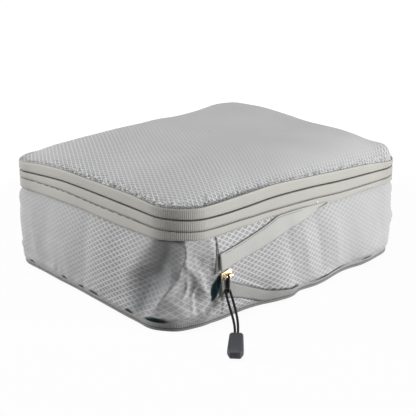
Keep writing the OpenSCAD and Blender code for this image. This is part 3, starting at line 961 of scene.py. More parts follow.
# painted shade where the wall's hem bulges over the base tape
HEM_GAP_SHADES: tuple[GapShade, ...] = (
    GapShade(-40, 9, 2.8), GapShade(-69, 6, 2.3), GapShade(-121, 8, 2.2), GapShade(-142, 5, 1.8),
    GapShade(-170, 4.5, 1.5), GapShade(-227, 5, 1.6), GapShade(150, 34, 1.1), GapShade(208, 12, 0.9),
    GapShade(300, 8, 1.6), GapShade(352, 6, 1.5), GapShade(410, 7, 1.4), GapShade(470, 6, 1.5),
    GapShade(-330, 7, 1.5), GapShade(-395, 6, 1.4), GapShade(-470, 7, 1.6),
)
# painted shade in the gap under the upper compression band at the near corner
TAPE_GAP_SHADE = GapShade(-33, 16, 1.5, 0.9, 0.6)


@dataclass(frozen=True)
class FallenCorner:
    """The unfilled near corner: its ridge, where the wall falls in, and its shade, all by height."""

    ridge: Course = Course((
        (8, -43), (20, -40), (28, -36), (35, -31), (43, -24.5), (50, -23.5), (61, -18.5), (76, -20.5)))
    start: Course = Course(((10, -84), (38, -79), (50, -68), (70, -59)))
    end: float = 7.0
    start_out: float = 3.4
    ridge_out: float = 0.5
    end_out: float = 2.4
    hollow: float = 1.6
    foot: float = 9.0
    fade_up: float = 24.0
    fade_left: float = 30.0
    fade_right: float = 5.0
    # where the painted shade of the hollow starts over the foot, how it fades in, and how soft its right edge
    # is
    shade_foot: float = 6.0
    shade_up: float = 8.0
    edge_soft: float = 4.0
    # where the painted shade lies: its middle, its widths on both sides, its right edge and its depth, by
    # height
    middle: Course = Course(((14, -58), (23, -56), (32, -50), (43, -40), (54, -35), (64, -32), (75, -31)))
    left: Course = Course(((14, 9), (36, 9), (60, 11), (75, 12)))
    right: Course = Course(((14, 11), (27, 15), (36, 20), (47, 25), (60, 20), (67, 13), (75, 13)))
    edge: Course = Course((
        (14, -46), (22, -40), (28, -34), (35, -28), (40, -22), (50, -22), (61, -17), (76, -19)))
    depth: Course = Course((
        (14, 0.56), (22, 0.60), (30, 0.46), (38, 0.44), (48, 0.34), (62, 0.12), (70, 0.12), (76, 0.42)))

    def chord(self, outline: Outline, s: Array, start: tuple[Array, float],
              end: tuple[Array, float]) -> Array:
        """Offset of a straight stretch.

        Args:
            outline: the bag's outline.
            s: ways round.
            start: way round and offset where the stretch starts.
            end: way round and offset where it ends.

        Returns:
            Outward offsets from the outline.
        """
        ends = []
        for way, out in (start, end):
            way = np.broadcast_to(way, s.shape)
            at, normal = outline.walk(way.ravel())
            ends.append(at + normal * out)
        at, normal = outline.walk(s.ravel())
        along = ends[1] - ends[0]
        face = np.stack([along[:, 1], -along[:, 0]], 1)
        return (((ends[0] - at) * face).sum(1) / (normal * face).sum(1)).reshape(s.shape)

    def flatten(self, outline: Outline, s: Array, z: Array, off: Array) -> Array:
        """The wall's offsets, drawn flat on both sides of the ridge.

        Args:
            outline: the bag's outline.
            s: ways round.
            z: heights.
            off: offsets of the filled wall.

        Returns:
            Offsets of the fallen wall.
        """
        ridge, start = self.ridge.at(z), self.start.at(z)
        bow = np.sin(math.pi * np.clip((s - start) / (ridge - start), 0, 1))
        left = self.chord(outline, s, (start, self.start_out), (ridge, self.ridge_out)) - self.hollow * bow
        right = self.chord(outline, s, (ridge, self.ridge_out), (np.array(self.end), self.end_out))
        share = smooth_step((z - self.foot) / self.fade_up) * smooth_step((s - start) / self.fade_left)
        share = share * smooth_step((self.end - s) / self.fade_right)
        return off + (np.where(s < ridge, left, right) - off) * share

    def shade(self, s: Array, z: Array) -> Array:
        """Painted shade of the hollow left of the ridge."""
        aside = s - self.middle.at(z)
        width = np.where(aside < 0, self.left.at(z), self.right.at(z))
        dark = self.depth.at(z) * bell(aside, width)
        dark = dark * smooth_step((z - self.shade_foot) / self.shade_up)
        return dark * smooth_step((self.edge.at(z) - s) / self.edge_soft)


@dataclass(frozen=True)
class PocketShade:
    """Painted shadow of the deep leaf-shaped pocket beside the join."""

    top: float = 42.0
    tall: float = 23.0
    at: float = 9.6
    lean: float = 7.6
    wide: float = 4.4
    rim: float = 1.2
    fullness: float = 0.8
    core: float = 0.6
    least: float = 0.05
    tip: float = 0.25

    def shade(self, s: Array, z: Array) -> Array:
        """Painted darkness at ways round and heights."""
        t = np.clip((self.top - z) / self.tall, 0, 1)
        leaf = np.sin(math.pi * t)
        wide = self.wide * leaf ** self.fullness
        aside = np.abs(s - self.at + self.lean * t)
        dark = (1 - smooth_step((aside - wide * self.core) / self.rim)) * (wide > self.least)
        return dark * smooth_step(leaf / self.tip)


@dataclass
class GussetWall:
    """The folding ripstop wall between the two compression tapes."""

    form: BagForm
    finishes: Finishes
    corner: FallenCorner = FallenCorner()
    pocket: PocketShade = PocketShade()
    bulge: float = 4.4
    hem: float = 6.2
    hem_out: float = 0.8
    hem_lift: float = 2.2
    tape_out: float = -0.9
    thickness: float = 0.6
    corner_bulge: float = 0.5
    corner_fade: float = 150.0
    near_corner: float = -34.0
    loose_corner: float = -14.0
    crease: float = 7.5
    crease_size: float = 14.0
    pucker_size: float = 11.0
    tuck_in: float = 30.0
    # how far the wall's threads fade under painted sheen and shade, by way round
    quiet: Course = Course((
        (-300, 0.90), (-190, 0.90), (-140, 0.65), (-112, 0.20), (-85, 0.0), (-60, 0.45), (-30, 0.75),
        (0, 0.50), (22, 0.05), (60, 0.10), (90, 0.42), (150, 0.60), (190, 0.90), (300, 0.90)))

    def __post_init__(self) -> None:
        """Draws the wall's crumples."""
        self.crumple = Crumple(5)

    def share(self, s: Array) -> Array:
        """Share of the bulge: full along the sides, half at the corners."""
        return 1.0 - self.corner_bulge * self.form.outline.corner_share(s, self.corner_fade)

    def slack(self, s: Array, z: Array) -> Array:
        """How loose the cloth is: crumpled at the near corner, a little at the others and at the foot."""
        outline = self.form.outline
        loose = bell(outline.past(s, self.loose_corner), 24) * bell(z - 24, 24)
        corners = outline.corner_share(s, 60.0) * bell(z - 22, 22)
        foot = bell(z - 8, 9)
        return np.maximum(loose, np.maximum(0.34 * corners, 0.22 * foot)) + 0.05

    def low(self, s: Array) -> Array:
        """Height of the wall's lower edge, which shows more of the base tape at the near corner."""
        return self.hem + self.hem_lift * bell(self.form.outline.past(s, self.near_corner), 30)

    def offset(self, s: Array, z: Array) -> Array:
        """Outward offset of the wall's face from the outline.

        Args:
            s: ways round.
            z: heights.

        Returns:
            Offsets, where the wall's edges go on behind the tapes.
        """
        outline = self.form.outline
        s, z = np.broadcast_arrays(s, z)
        low, top = self.low(s), self.form.line(self.form.lower, s)
        foot = self.form.line(self.form.foot_out, s) + self.hem_out
        t = (z - low) / (top - low)
        inside = np.clip(t, 0, 1)
        swell = np.power(np.clip(np.sin(math.pi * inside), 0, 1), 0.6)
        off = foot * (1 - inside) + self.tape_out * inside + self.bulge * self.share(s) * swell
        signed = outline.past(s)
        off = self.corner.flatten(outline, signed, z, off)
        move = np.zeros_like(off)
        for fold in FOLDS:
            shift = outline.around if fold.start[0] > outline.around / 2 else 0.0
            move += fold.on(signed + shift, z)
        slack = self.slack(s, z)
        creases = self.crease * self.crumple.creased(signed / self.crease_size, z / self.crease_size)
        creases += 0.6 * self.crumple.soft(signed / 34.0 + 9, z / 60.0) / (slack + 0.4)
        held = smooth_step(np.minimum(inside, 1 - inside) / 0.10)
        pucker = np.abs(self.crumple.soft(signed / self.pucker_size, 0.5 + 0 * z)) * bell(t - 0.03, 0.06)
        off = off + held * (move + creases * slack) + pucker
        return off - self.tuck_in * (np.maximum(-t, 0) + np.maximum(t - 1, 0))

    def lead_line(self, s: Array, z: Array) -> Array:
        """Painted shadow along the lower lead's coil."""
        over = np.abs(z - LOW_COIL.at(s) - 0.2)
        share = smooth_step((s - 18) / 12) * smooth_step((104 - s) / 6) * (0.45 + s / 200)
        return share * (1 - smooth_step((over - 0.7) / 0.9))

    def painted_shading(self, s: Array, z: Array) -> Array:
        """Painted shade in the gaps along the wall's edges, in the pocket and in the fallen corner, and
        painted shadow along the lower lead.
        """
        signed = self.form.outline.past(s)
        over_hem = z - self.low(s) - 0.5
        under_tape = z - self.form.line(self.form.lower, s) + 0.4
        parts = [opening.on(signed, over_hem) for opening in HEM_GAP_SHADES]
        parts += [TAPE_GAP_SHADE.on(signed, under_tape), self.lead_line(signed, z)]
        parts += [self.pocket.shade(signed, z), self.corner.shade(signed, z)]
        return np.max(parts, axis=0)

    def calm(self, s: Array, z: Array) -> Array:
        """How far the threads fade into an even tone, as painted sheen and shade: in the near corner's hollow
        and along the wall's quiet stretches.
        """
        signed = self.form.outline.past(s)
        hollow = bell(signed + 40, 15) * smooth_step((z - 18) / 18)
        return np.maximum(hollow, self.quiet.at(signed))

    def build(self) -> None:
        """Makes the wall, its top and foot tucked behind the tapes."""
        around = self.form.outline.around
        s = np.concatenate([np.arange(-64, 36, 1.0), np.arange(36, 244, 1.7),
                            np.linspace(244, around - 64, 340, endpoint=False)])
        rows = np.concatenate([np.linspace(-0.06, 0, 3, endpoint=False), np.linspace(0, 1, 56),
                               np.linspace(1, 1.07, 4)[1:]])
        low, top = self.low(s)[:, None], self.form.line(self.form.lower, s)[:, None]
        z = low + (top - low) * rows[None, :]
        way = np.broadcast_to(s[:, None], z.shape)
        points = self.form.lay(way, self.offset(way, z), z)
        closed = np.concatenate([way, way[:1] + around])
        places = np.stack([closed, np.concatenate([z, z[:1]])], 2) * MM
        wall = grid_mesh("gusset_cloth", points, places, self.finishes.cloth, wrap_s=True,
                         marks={"tuck": self.painted_shading(way, z), "calm": self.calm(way, z)})
        thicken(wall, self.thickness)
        settle(wall, Body.BASE, Slot.CLOTH, "gusset", squeeze=True)
        around * MM


@dataclass
class TapeRing:
    """A woven band round the bag, crowned and with its edges turned in."""

    name: str
    form: BagForm
    material: bpy.types.Material
    low: Callable[[Array], Array]
    high: Callable[[Array], Array]
    out: Callable[[Array], Array]
    inset: float = 0.0
    thickness: float = 1.0
    crown: float = 0.42
    turn_in: float = 0.75
    ripple: float = 0.22
    ripple_size: float = 17.0
    edge_depth: float = -0.5
    columns: int = 560

    def build(self) -> Object:
        """Sweeps the band's section round the bag."""
        outline = self.form.outline
        s = np.linspace(0, outline.around, self.columns, endpoint=False)
        face = np.array([0, 0.025, 0.08, 0.2, 0.35, 0.5, 0.65, 0.8, 0.92, 0.975, 1.0])
        back = np.array([0.97, 0.5, 0.03])
        bow = self.crown - (self.crown + self.turn_in) * np.abs(2 * face - 1) ** 7
        t = np.concatenate([face, back])[None, :]
        depth = np.concatenate([bow, np.full(len(back), -self.thickness)])[None, :]
        drift = Crumple(11).soft(s[:, None] / self.ripple_size + len(self.name), t * 1.5)
        drift = self.ripple * drift * (depth > self.edge_depth)
        low, high = self.low(s)[:, None], self.high(s)[:, None]
        z = low + (high - low) * t
        points = self.form.lay(s[:, None], self.out(s)[:, None] - self.inset + depth + drift, z)
        ways, spread = np.meshgrid(np.append(s, outline.around) * MM, np.append(t, t[0, 0]), indexing="ij")
        bunch = np.broadcast_to(outline.corner_share(s, 34.0)[:, None], z.shape)
        return grid_mesh(self.name, points, np.stack([ways, spread], 2), self.material, True, True,
                         {"bunch": bunch})


@dataclass
class Bands:
    """The zip tapes, bindings, piping, coils and their stitches round the bag."""

    form: BagForm
    finishes: Finishes
    repeat: RepeatTree
    piping_d: float = 2.4
    piping_in: float = 0.9
    gap: float = 0.7
    base_low: float = 2.7
    base_stitch_z: float = 4.7
    coil_in: float = 1.85
    main_coil: float = 1.25
    comp_coil: float = 1.3
    lower_stitch: float = 1.5
    middle_stitch: float = 1.4
    stitch_out: float = 0.36
    base_stitch_out: float = 0.34
    columns: int = 700

    def _line(self, track: Track, shift: float = 0.0) -> Callable[[Array], Array]:
        """A track with a fixed shift, as a function of the way round."""
        return lambda s: self.form.line(track, s) + shift

    def _held(self, track: Track, shift: float, lift: float) -> Callable[[Array], Array]:
        """A track with a fixed shift, lifted here and there along the left side."""
        around = self.form.outline.around

        def height(s: Array) -> Array:
            """The lifted track at each way round."""
            left = smooth_step((s - around + 235) / 20) * smooth_step((around - 62 - s) / 20)
            drawn = np.sin(s * 0.62 + 1.3 * np.sin(s * 0.11))
            return self.form.line(track, s) + shift + lift * left * smooth_step((drawn - 0.1) / 0.3)

        return height

    def _level(self, value: float) -> Callable[[Array], Array]:
        """The same value all round."""
        return lambda s: np.full_like(s, value)

    def _by_zip(self, height: float) -> Callable[[Array], Array]:
        """A height that rises and falls with the main zip."""
        return self._line(self.form.zip_gap, height - self.form.zip_line)

    def tapes(self) -> None:
        """Makes the four showing bands."""
        form, kit = self.form, self.finishes
        flat = self._line(form.band_out)
        upper_edge = self._held(form.middle, -0.1, 0.6)
        rows = (
            ("main_upper_band", kit.tape, self._line(form.zip_gap, self.gap / 2), self._line(form.rim),
             flat, Body.LID, "main_upper_tape"),
            ("main_lower_band", kit.tape, self._line(form.middle, 0.1),
             self._line(form.zip_gap, -self.gap / 2), flat, Body.UPPER, "main_lower_tape"),
            ("comp_upper_band", kit.tape, self._line(form.lower), upper_edge,
             flat, Body.UPPER, "comp_upper_tape"),
            ("comp_lower_band", kit.base_tape, self._level(self.base_low), self._level(form.base_top),
             self._line(form.foot_out), Body.BASE, "comp_lower_tape"),
        )
        for name, finish, low, high, out, body, node in rows:
            band = TapeRing(name, form, finish, low, high, out).build()
            settle(band, body, Slot.TAPE, node)

    def bindings(self) -> None:
        """Makes the bias bindings inside the three seams."""
        rows = (
            ("base_seam_binding", self._level(1.7), self._level(6.6), 4.4, Body.BASE, "base_binding"),
            ("upper_seam_binding", self._by_zip(79.8), self._by_zip(87.6), 1.15, Body.UPPER,
             "upper_binding"),
            ("lid_seam_binding", self._by_zip(97.7), self._by_zip(100.6), 2.9, Body.LID, "lid_binding"),
        )
        for name, low, high, inset, body, node in rows:
            ring = TapeRing(name, self.form, self.finishes.trim, low, high, self._level(0.0), inset,
                            thickness=1.1, crown=0.1, turn_in=0.4, ripple=0.12).build()
            settle(ring, body, Slot.TRIM, node)

    def piping(self, columns: int = 560, sides: int = 10) -> None:
        """Makes the round piping at the foot."""
        around = self.form.outline.around
        s = np.linspace(0, around, columns, endpoint=False)
        turn = np.linspace(0, 2 * math.pi, sides, endpoint=False)[None, :]
        r = self.piping_d / 2
        out = self.form.line(self.form.foot_out, s)[:, None] - self.piping_in
        points = self.form.lay(s[:, None], out + r * np.cos(turn), r + r * np.sin(turn))
        places = np.meshgrid(np.append(s, around), np.append(turn, 2 * math.pi) * r, indexing="ij")
        pipe = grid_mesh("foot_piping", points, np.stack(places, 2) * MM, self.finishes.trim, True, True)
        settle(pipe, Body.BASE, Slot.TRIM, "base_piping")

    def coils_and_stitches(self) -> None:
        """Sets the turns of the four zip coils behind their tapes, and sews the bands' edges."""
        form = self.form
        s = np.linspace(0, form.outline.around, self.columns, endpoint=False)
        out = form.outward(s)
        seat, foot = form.line(form.band_out, s), form.line(form.foot_out, s)
        gap, middle, lower = (form.line(track, s) for track in (form.zip_gap, form.middle, form.lower))
        base_coil = np.full_like(s, form.base_top - self.comp_coil)
        coils = (
            ("main_upper_coil_turns", gap + self.main_coil, seat, Body.LID, "main_upper_coil"),
            ("main_lower_coil_turns", gap - self.main_coil, seat, Body.UPPER, "main_lower_coil"),
            ("comp_upper_coil_turns", lower + self.comp_coil, seat, Body.UPPER, "comp_upper_coil"),
            ("comp_lower_coil_turns", base_coil, foot, Body.BASE, "comp_lower_coil"),
        )
        for name, z, shift, body, node in coils:
            line = form.lay(s, shift - self.coil_in, z)
            turns = self.repeat.along(name, line, out, True, ZIP_TURN, self.finishes.coil)
            settle(turns, body, Slot.COIL, node)
        stitches = (
            ("upper_band_stitches", lower + self.lower_stitch, seat + self.stitch_out, Body.UPPER),
            ("middle_band_stitches", middle + self.middle_stitch, seat + self.stitch_out, Body.UPPER),
            ("base_band_stitches", 0 * s + self.base_stitch_z, foot + self.base_stitch_out, Body.BASE),
        )
        for name, z, offset, body in stitches:
            line = form.lay(s, offset, z)
            row = self.repeat.along(name, line, out, True, BAND_STITCH, self.finishes.thread)
            settle(row, body, Slot.TAPE)

    def build(self) -> None:
        """Makes every band and what is sewn to it."""
        self.tapes()
        self.bindings()
        self.piping()
        self.coils_and_stitches()


@dataclass
class Lid:
    """The domed ripstop top."""

    form: BagForm
    finishes: Finishes
    repeat: RepeatTree
    crown: float = 24.0
    rise_x: float = 8.0
    rise_y: float = 4.0
    peak: float = 8.5
    seam_z: float = 102.0
    corner_puff: float = 8.0
    puff_at: float = 259.0
    puff_in: float = 7.0
    corner_sag: float = 5.0
    sag_at: float = -250.0
    sag_in: float = 22.4
    rim_inset: float = 1.5
    thickness: float = 0.6
    cut: float = 1.08
    allowance: float = 0.03
    stitch_in: float = 2.6
    stitch_up: float = 0.9
    columns: int = 620

    def __post_init__(self) -> None:
        """Draws the top's lumps and the gathers along its seam."""
        self.lumps = Crumple(3)
        self.seam = Crumple(8)

    def height(self, x: Array, y: Array, t: Array, rim: Array) -> Array:
        """Height of the top at places x and y, t of the way in from a rim height.

        Args:
            x: places along the bag.
            y: places from front to back.
            t: shares of the way in from the rim to the middle.
            rim: heights of the rim.

        Returns:
            Heights in millimetres.
        """
        half = np.array([self.form.outline.length, self.form.outline.depth]) / 2
        rise = self.crown + self.rise_x * x / half[0] + self.rise_y * y / half[1]
        rise = rise + self.peak * bell(x - 120, 42) * bell(y - 48, 60)
        lumps = 2.2 * self.lumps.soft(x / 62 + 3.3, y / 55 + 8.1)
        lumps += 0.9 * self.lumps.soft(x / 26 + 1.7, y / 30 + 2.9)
        level = self.seam_z + (rim - self.seam_z) * (1 - t) ** 3
        return level + (rise + lumps) * (1 - (1 - t) ** 5)

    def corners(self, s: Array, inward: Array) -> Array:
        """Rise of the puffed right corner less the sag of the left one, at ways in from the rim.

        Args:
            s: ways round.
            inward: distances in from the rim.

        Returns:
            Heights to add.
        """
        puff, sag = inward / self.puff_in, inward / self.sag_in
        rise = self.corner_puff * bell(s - self.puff_at, 10) * puff * np.exp(1 - puff)
        past = self.form.outline.past(s, self.sag_at)
        return rise - self.corner_sag * bell(past, 34) * sag * np.exp(1 - sag)

    def puckered_side(self, s: Array) -> Array:
        """1 along the seam's most puckered stretch round the near corner."""
        return bell(self.form.outline.past(s, -70), 130, 4)

    def marks(self, s: Array, points: Array, deep: Array) -> dict[str, Array]:
        """What is painted on the top.

        Args:
            s: ways round.
            points: the top's points.
            deep: how far in from the rim each row lies.

        Returns:
            Painted shade in the seam's puckers and along its crease at the front, painted glints and shade
            flecks along the seam, and how far the threads fade under painted sheen.
        """
        # painted shade in the puckers right along the seam
        fine = self.seam.soft(s / 1.6, points[..., 2] / 1.5)
        tuck = np.clip(fine * np.exp(-deep / 0.035) - 0.1, 0, 0.6)
        # a painted shade line along the seam's crease at the front
        beside = bell(self.form.outline.past(s, 12), 58, 4)
        # painted glints and shade flecks, strongest along the most puckered stretch
        worn = (0.25 + 0.75 * self.puckered_side(s)) * np.exp(-np.power(deep / 0.045, 1.5))
        # the threads fade more towards the top's right, under painted sheen
        calm = 0.42 + 0.54 * smooth_step((points[..., 0] + 110) / 140)
        return {"tuck": np.maximum(tuck, 0.7 * beside * bell(deep, 0.011)), "worn": worn,
                "calm": calm * smooth_step((deep - 0.02) / 0.10)}

    def places(self, points: Array) -> Array:
        """The thread map: plan places, spread by the way up the dome, and turned."""
        reach = np.hypot(points[..., 0], points[..., 1])
        steps = np.linalg.norm(np.diff(points, axis=1), axis=2)
        lift = np.concatenate([np.zeros((len(points), 1)), np.cumsum(steps, 1)], 1)
        stretch = (lift[:, -1:] + reach[:, -1:] - lift) / np.maximum(reach, 1e-6)
        return points[..., 1::-1] * np.clip(stretch, 1.0, 1.35)[..., None] * self.cut * MM

    def build(self) -> None:
        """Makes the top cloth, with its edge tucked behind its tape and puckered along the seam."""
        form = self.form
        s = np.linspace(0, form.outline.around, self.columns, endpoint=False)
        way = s[:, None]
        rim, out = form.line(form.rim, s), form.line(form.band_out, s)
        edge = form.lay(s, out - self.rim_inset, rim)[:, None, :2]
        t = np.concatenate([[0, 0.006, 0.013, 0.021, 0.03, 0.04, 0.052, 0.066],
                            np.linspace(0.084, 0.985, 46)])[None, :]
        flat = edge * (1 - t)[..., None]
        z = self.height(flat[..., 0], flat[..., 1], t, rim[:, None])
        z = z + self.corners(way, np.linalg.norm(edge - flat, axis=2))
        gather = self.seam.soft(way / 4.2, 0.5 + t * 12) + 0.5 * self.seam.soft(way / 9.0, 3.5 + 0 * t)
        z = z + (0.7 + 0.8 * self.puckered_side(way)) * gather * np.exp(-t / 0.05) * smooth_step(t / 0.012)
        behind, under = np.array([[-2.0, -1.7]]), np.array([[-4.0, -1.6]])
        skirt = form.lay(way, out[:, None] + behind, rim[:, None] + under)
        points = np.concatenate([skirt, np.concatenate([flat, z[..., None]], 2)], 1)
        places = self.places(points)
        deep = np.append([0, 0], t)[None, :]
        cloth = grid_mesh("lid_cloth", points, np.concatenate([places, places[:1]]), self.finishes.cloth,
                          wrap_s=True, marks=self.marks(way, points, deep))
        close_middle(cloth, len(s), points.shape[1])
        thicken(cloth, self.thickness)
        settle(cloth, Body.LID, Slot.CLOTH, "lid_panel")
        line = form.lay(s, out - self.stitch_in, rim + self.stitch_up)
        row = self.repeat.along("lid_seam_stitches", line, form.outward(s), True, LID_STITCH,
                                self.finishes.thread)
        settle(row, Body.LID, Slot.CLOTH)


@dataclass(frozen=True)
class Lead:
    """One slanting tape lead: its edges, where it ends, and which of its columns are sewn and coiled."""

    word: str
    sewn: Course
    coil: Course
    end: float
    columns: int
    rows: int
    fade_at: float
    fade: float
    sewn_columns: slice
    coil_columns: slice


UPPER_LEAD = Lead("upper", UP_SEWN, UP_COIL, 170.0, 104, 16, 95.0, 60.0, slice(4, 66), slice(10, 90))
LOWER_LEAD = Lead("lower", LOW_SEWN, LOW_COIL, 100.0, 70, 14, 60.0, 35.0, slice(4, 40), slice(10, 56))


@dataclass
class FrontLeads:
    """The join, yokes and slanting tape leads on the front face, laid on the wall."""

    form: BagForm
    finishes: Finishes
    wall: GussetWall
    repeat: RepeatTree
    seam_s: float = 11.0
    seam_w: float = 3.0
    seam_t: float = 0.5
    seam_roll: float = 0.3
    foot_over: float = 0.4
    top_over: float = 0.8
    seam_rows: int = 50
    coil_gap: float = 2.0
    yoke_start: float = 9.0
    yoke_gap: float = 0.4
    yoke_t: float = 0.6
    upper_yoke_end: float = 96.0
    lower_yoke_end: float = 52.0
    yoke_sink: float = 1.6
    lead_start: float = 9.2
    lead_t: float = 0.9
    lead_min: float = 1.2
    lead_roll: float = 0.5
    lower_lead_top: float = 1.6
    stitch_out: float = 0.95
    coil_out: float = 1.1
    overlap: float = 2.5
    stitch_in: float = 1.4
    coil_in: float = 1.3

    def patch(self, name: str, s: Array, low: Array, high: Array, gap: Array | float, thickness: float,
              material: bpy.types.Material, rows: int, roll: float = 0.0,
              upright: float | None = None) -> Object:
        """Cloth laid on the wall between a low and a high edge.

        Args:
            name: the piece's name.
            s: ways round of its columns.
            low: heights of its low edge.
            high: heights of its high edge.
            gap: how far its back lies off the wall, by column, by row or the same for all.
            thickness: its thickness.
            material: its finish.
            rows: steps between its edges.
            roll: how far its edges turn in.
            upright: a way round that it leans back to where the wall swells, so that it looks straight.

        Returns:
            The piece, not yet seated.
        """
        t = np.linspace(0, 1, rows)[None, :]
        z = low[:, None] + (high - low)[:, None] * t
        way = np.broadcast_to(s[:, None], z.shape)
        if upright is not None:
            way = way + upright - self.wall.offset(np.full_like(z, upright), z)
        around = ((0, 0), (4, 0), (-4, 0), (0, 4), (0, -4))
        smooth = np.stack([self.wall.offset(way + a, z + b) for a, b in around]).mean(0)
        base = np.maximum(smooth, self.wall.offset(way, z) - 0.4 * thickness)
        lift = gap + thickness - roll * np.abs(2 * t - 1) ** 8
        over = z * MM if material is self.finishes.cloth else np.broadcast_to(t, z.shape)
        sheet = grid_mesh(name, self.form.lay(way, base + lift, z), np.stack([way * MM, over], 2), material,
                          marks={"tuck": 0 * z, "calm": 0 * z, "bunch": 0.12 + 0 * z})
        return thicken(sheet, thickness)

    @property
    def foot(self) -> float:
        """Height of the pieces' lower edge, just over the wall's."""
        return self.wall.hem + self.foot_over

    def top(self, s: Array) -> Array:
        """Height of the wall's upper edge, just behind its tape."""
        return self.form.line(self.form.lower, s) + self.top_over

    def edge(self, course: Course, s: Array, step: float = 0.5, soften: float = 3.5, half: int = 24) -> Array:
        """Height of an edge along a course, softened at its marks.

        Args:
            course: the edge's marks.
            s: ways round.
            step: spacing of the softened line.
            soften: reach of the softening.
            half: steps on each side that it takes in.

        Returns:
            A height for each way round.
        """
        past = half * step
        fine = np.arange(s.min() - past, s.max() + past + step, step)
        kernel = np.exp(-0.5 * (np.arange(-half, half + 1) * step / soften) ** 2)
        padded = np.pad(course.at(fine), half, mode="reflect", reflect_type="odd")
        return np.interp(s, fine, np.convolve(padded, kernel / kernel.sum(), mode="valid"))

    def join(self) -> None:
        """Makes the join strip, which goes under the wall's fold below the slider."""
        across = np.linspace(-self.seam_w / 2, self.seam_w / 2, 5)
        sunk = 0.1 - 2.6 * smooth_step((0.55 - np.linspace(0, 1, self.seam_rows)) / 0.06)[None, :]
        low, high = 0 * across + self.foot, self.top(across + self.seam_s)
        strip = self.patch("gusset_join", across, low, high, sunk, self.seam_t, self.finishes.join,
                           self.seam_rows, self.seam_roll, self.seam_s)
        settle(strip, Body.BASE, Slot.TRIM, "gusset_seam", squeeze=True)

    def yokes(self) -> None:
        """Makes the ripstop triangles over and under the slider."""
        s = np.linspace(self.yoke_start, self.upper_yoke_end, 60)
        low = self.edge(UP_SEWN, s) - self.overlap
        high = np.maximum(self.top(s), low + 0.5)
        rows = [("upper_yoke", s, low, high, self.yoke_gap, 18, (0.087, 0.022))]
        s = np.linspace(self.yoke_start, self.lower_yoke_end, 40)
        high = np.maximum(self.edge(LOW_SEWN, s) + self.overlap, self.foot + 1)
        under = (self.yoke_gap - self.yoke_sink * smooth_step((13 - s) / 4))[:, None]
        rows.append(("lower_yoke", s, 0 * s + self.foot, high, under, 12, (0.043, 0.018)))
        for node, s, low, high, gap, steps, flat in rows:
            yoke = self.patch(node + "_cloth", s, low, high, gap, self.yoke_t, self.finishes.cloth, steps)
            settle(yoke, Body.BASE, Slot.CLOTH, node, squeeze=True)

    def lead(self, lead: Lead, low: Array, high: Array, seam: Array, coil: Array,
             material: bpy.types.Material) -> None:
        """Makes a lead's tape, its row of stitches and its coil.

        Args:
            lead: the lead.
            low: heights of its low edge.
            high: heights of its high edge.
            seam: heights of its stitches.
            coil: heights of its coil.
            material: its finish.
        """
        s = self.ways(lead)
        gap = self.coil_gap * (1 - 0.8 * smooth_step((s - lead.fade_at) / lead.fade))
        tape = self.patch(f"comp_{lead.word}_lead_tape", s, low, high, gap[:, None], self.lead_t, material,
                          lead.rows, self.lead_roll)
        settle(tape, Body.BASE, Slot.TAPE, f"comp_{lead.word}_lead", squeeze=True)
        part = lead.sewn_columns
        row = self._along(f"{lead.word}_lead_stitches", s[part], seam[part], gap[part] + self.stitch_out,
                          BAND_STITCH, self.finishes.thread)
        settle(row, Body.BASE, Slot.TAPE, squeeze=True)
        part = lead.coil_columns
        turns = self._along(f"comp_{lead.word}_lead_turns", s[part], coil[part], self.coil_out, LEAD_TURN,
                            self.finishes.coil)
        settle(turns, Body.BASE, Slot.COIL, f"comp_{lead.word}_lead_coil", squeeze=True)

    def ways(self, lead: Lead) -> Array:
        """Ways round of a lead's columns."""
        return np.linspace(self.lead_start, lead.end, lead.columns)

    def _along(self, name: str, s: Array, z: Array, lift: Array | float, spread: Spread,
               material: bpy.types.Material) -> Object:
        """Sets stitches or coil turns along a line that lies off the wall."""
        line = self.form.lay(s, self.wall.offset(s, z) + lift, z)
        return self.repeat.along(name, line, self.form.outward(s), False, spread, material)

    def build(self) -> None:
        """Makes the join strip, the two yokes and the two leads."""
        self.join()
        self.yokes()
        s = self.ways(UPPER_LEAD)
        high = np.minimum(self.edge(UPPER_LEAD.sewn, s), self.top(s))
        low = np.minimum(self.edge(UPPER_LEAD.coil, s), high - self.lead_min)
        self.lead(UPPER_LEAD, low, high, high - self.stitch_in, low + self.coil_in, self.finishes.lead_tape)
        s = self.ways(LOWER_LEAD)
        high = np.maximum(self.edge(LOWER_LEAD.coil, s), self.foot + self.lower_lead_top)
        low = np.minimum(self.edge(LOWER_LEAD.sewn, s), high - self.lead_min)
        self.lead(LOWER_LEAD, low, high, low + self.stitch_in, high - self.coil_in,
                  self.finishes.low_lead_tape)


@dataclass
class FloorPanel:
    """The cube's ripstop floor."""

    form: BagForm
    finishes: Finishes
    thickness: float = 1.2
    edge_in: float = 2.2
    lie: float = 1.3
    calm: float = 0.3

    def build(self) -> None:
        """Makes the floor, flat on the surface and drawn up a little at its seam."""
        form = self.form
        around = form.outline.around
        s = np.linspace(0, around, 360, endpoint=False)
        edge = form.lay(s, form.line(form.foot_out, s) - self.edge_in, 0 * s)
        t = np.concatenate([np.linspace(0, 0.06, 6), np.linspace(0.09, 0.98, 26)])
        flat = edge[:, None, :2] * (1 - t)[None, :, None]
        soft = Crumple(21)
        gather = 0.3 * soft.soft(s[:, None] / 6.0, t[None, :] * 9) * np.exp(-t / 0.03)[None, :]
        z = self.lie + 0.5 * np.exp(-t / 0.02)[None, :] + gather
        points = np.concatenate([flat, np.broadcast_to(z, flat.shape[:2])[..., None]], 2)
        places = points[..., :2] * MM
        plain = np.zeros(points.shape[:2])
        panel = grid_mesh("floor_cloth", points, np.concatenate([places, places[:1]]), self.finishes.cloth,
                          wrap_s=True, marks={"tuck": plain, "calm": plain + self.calm})
        close_middle(panel, len(s), points.shape[1])
        thicken(panel, self.thickness)
        settle(panel, Body.BASE, Slot.CLOTH, "base_panel")


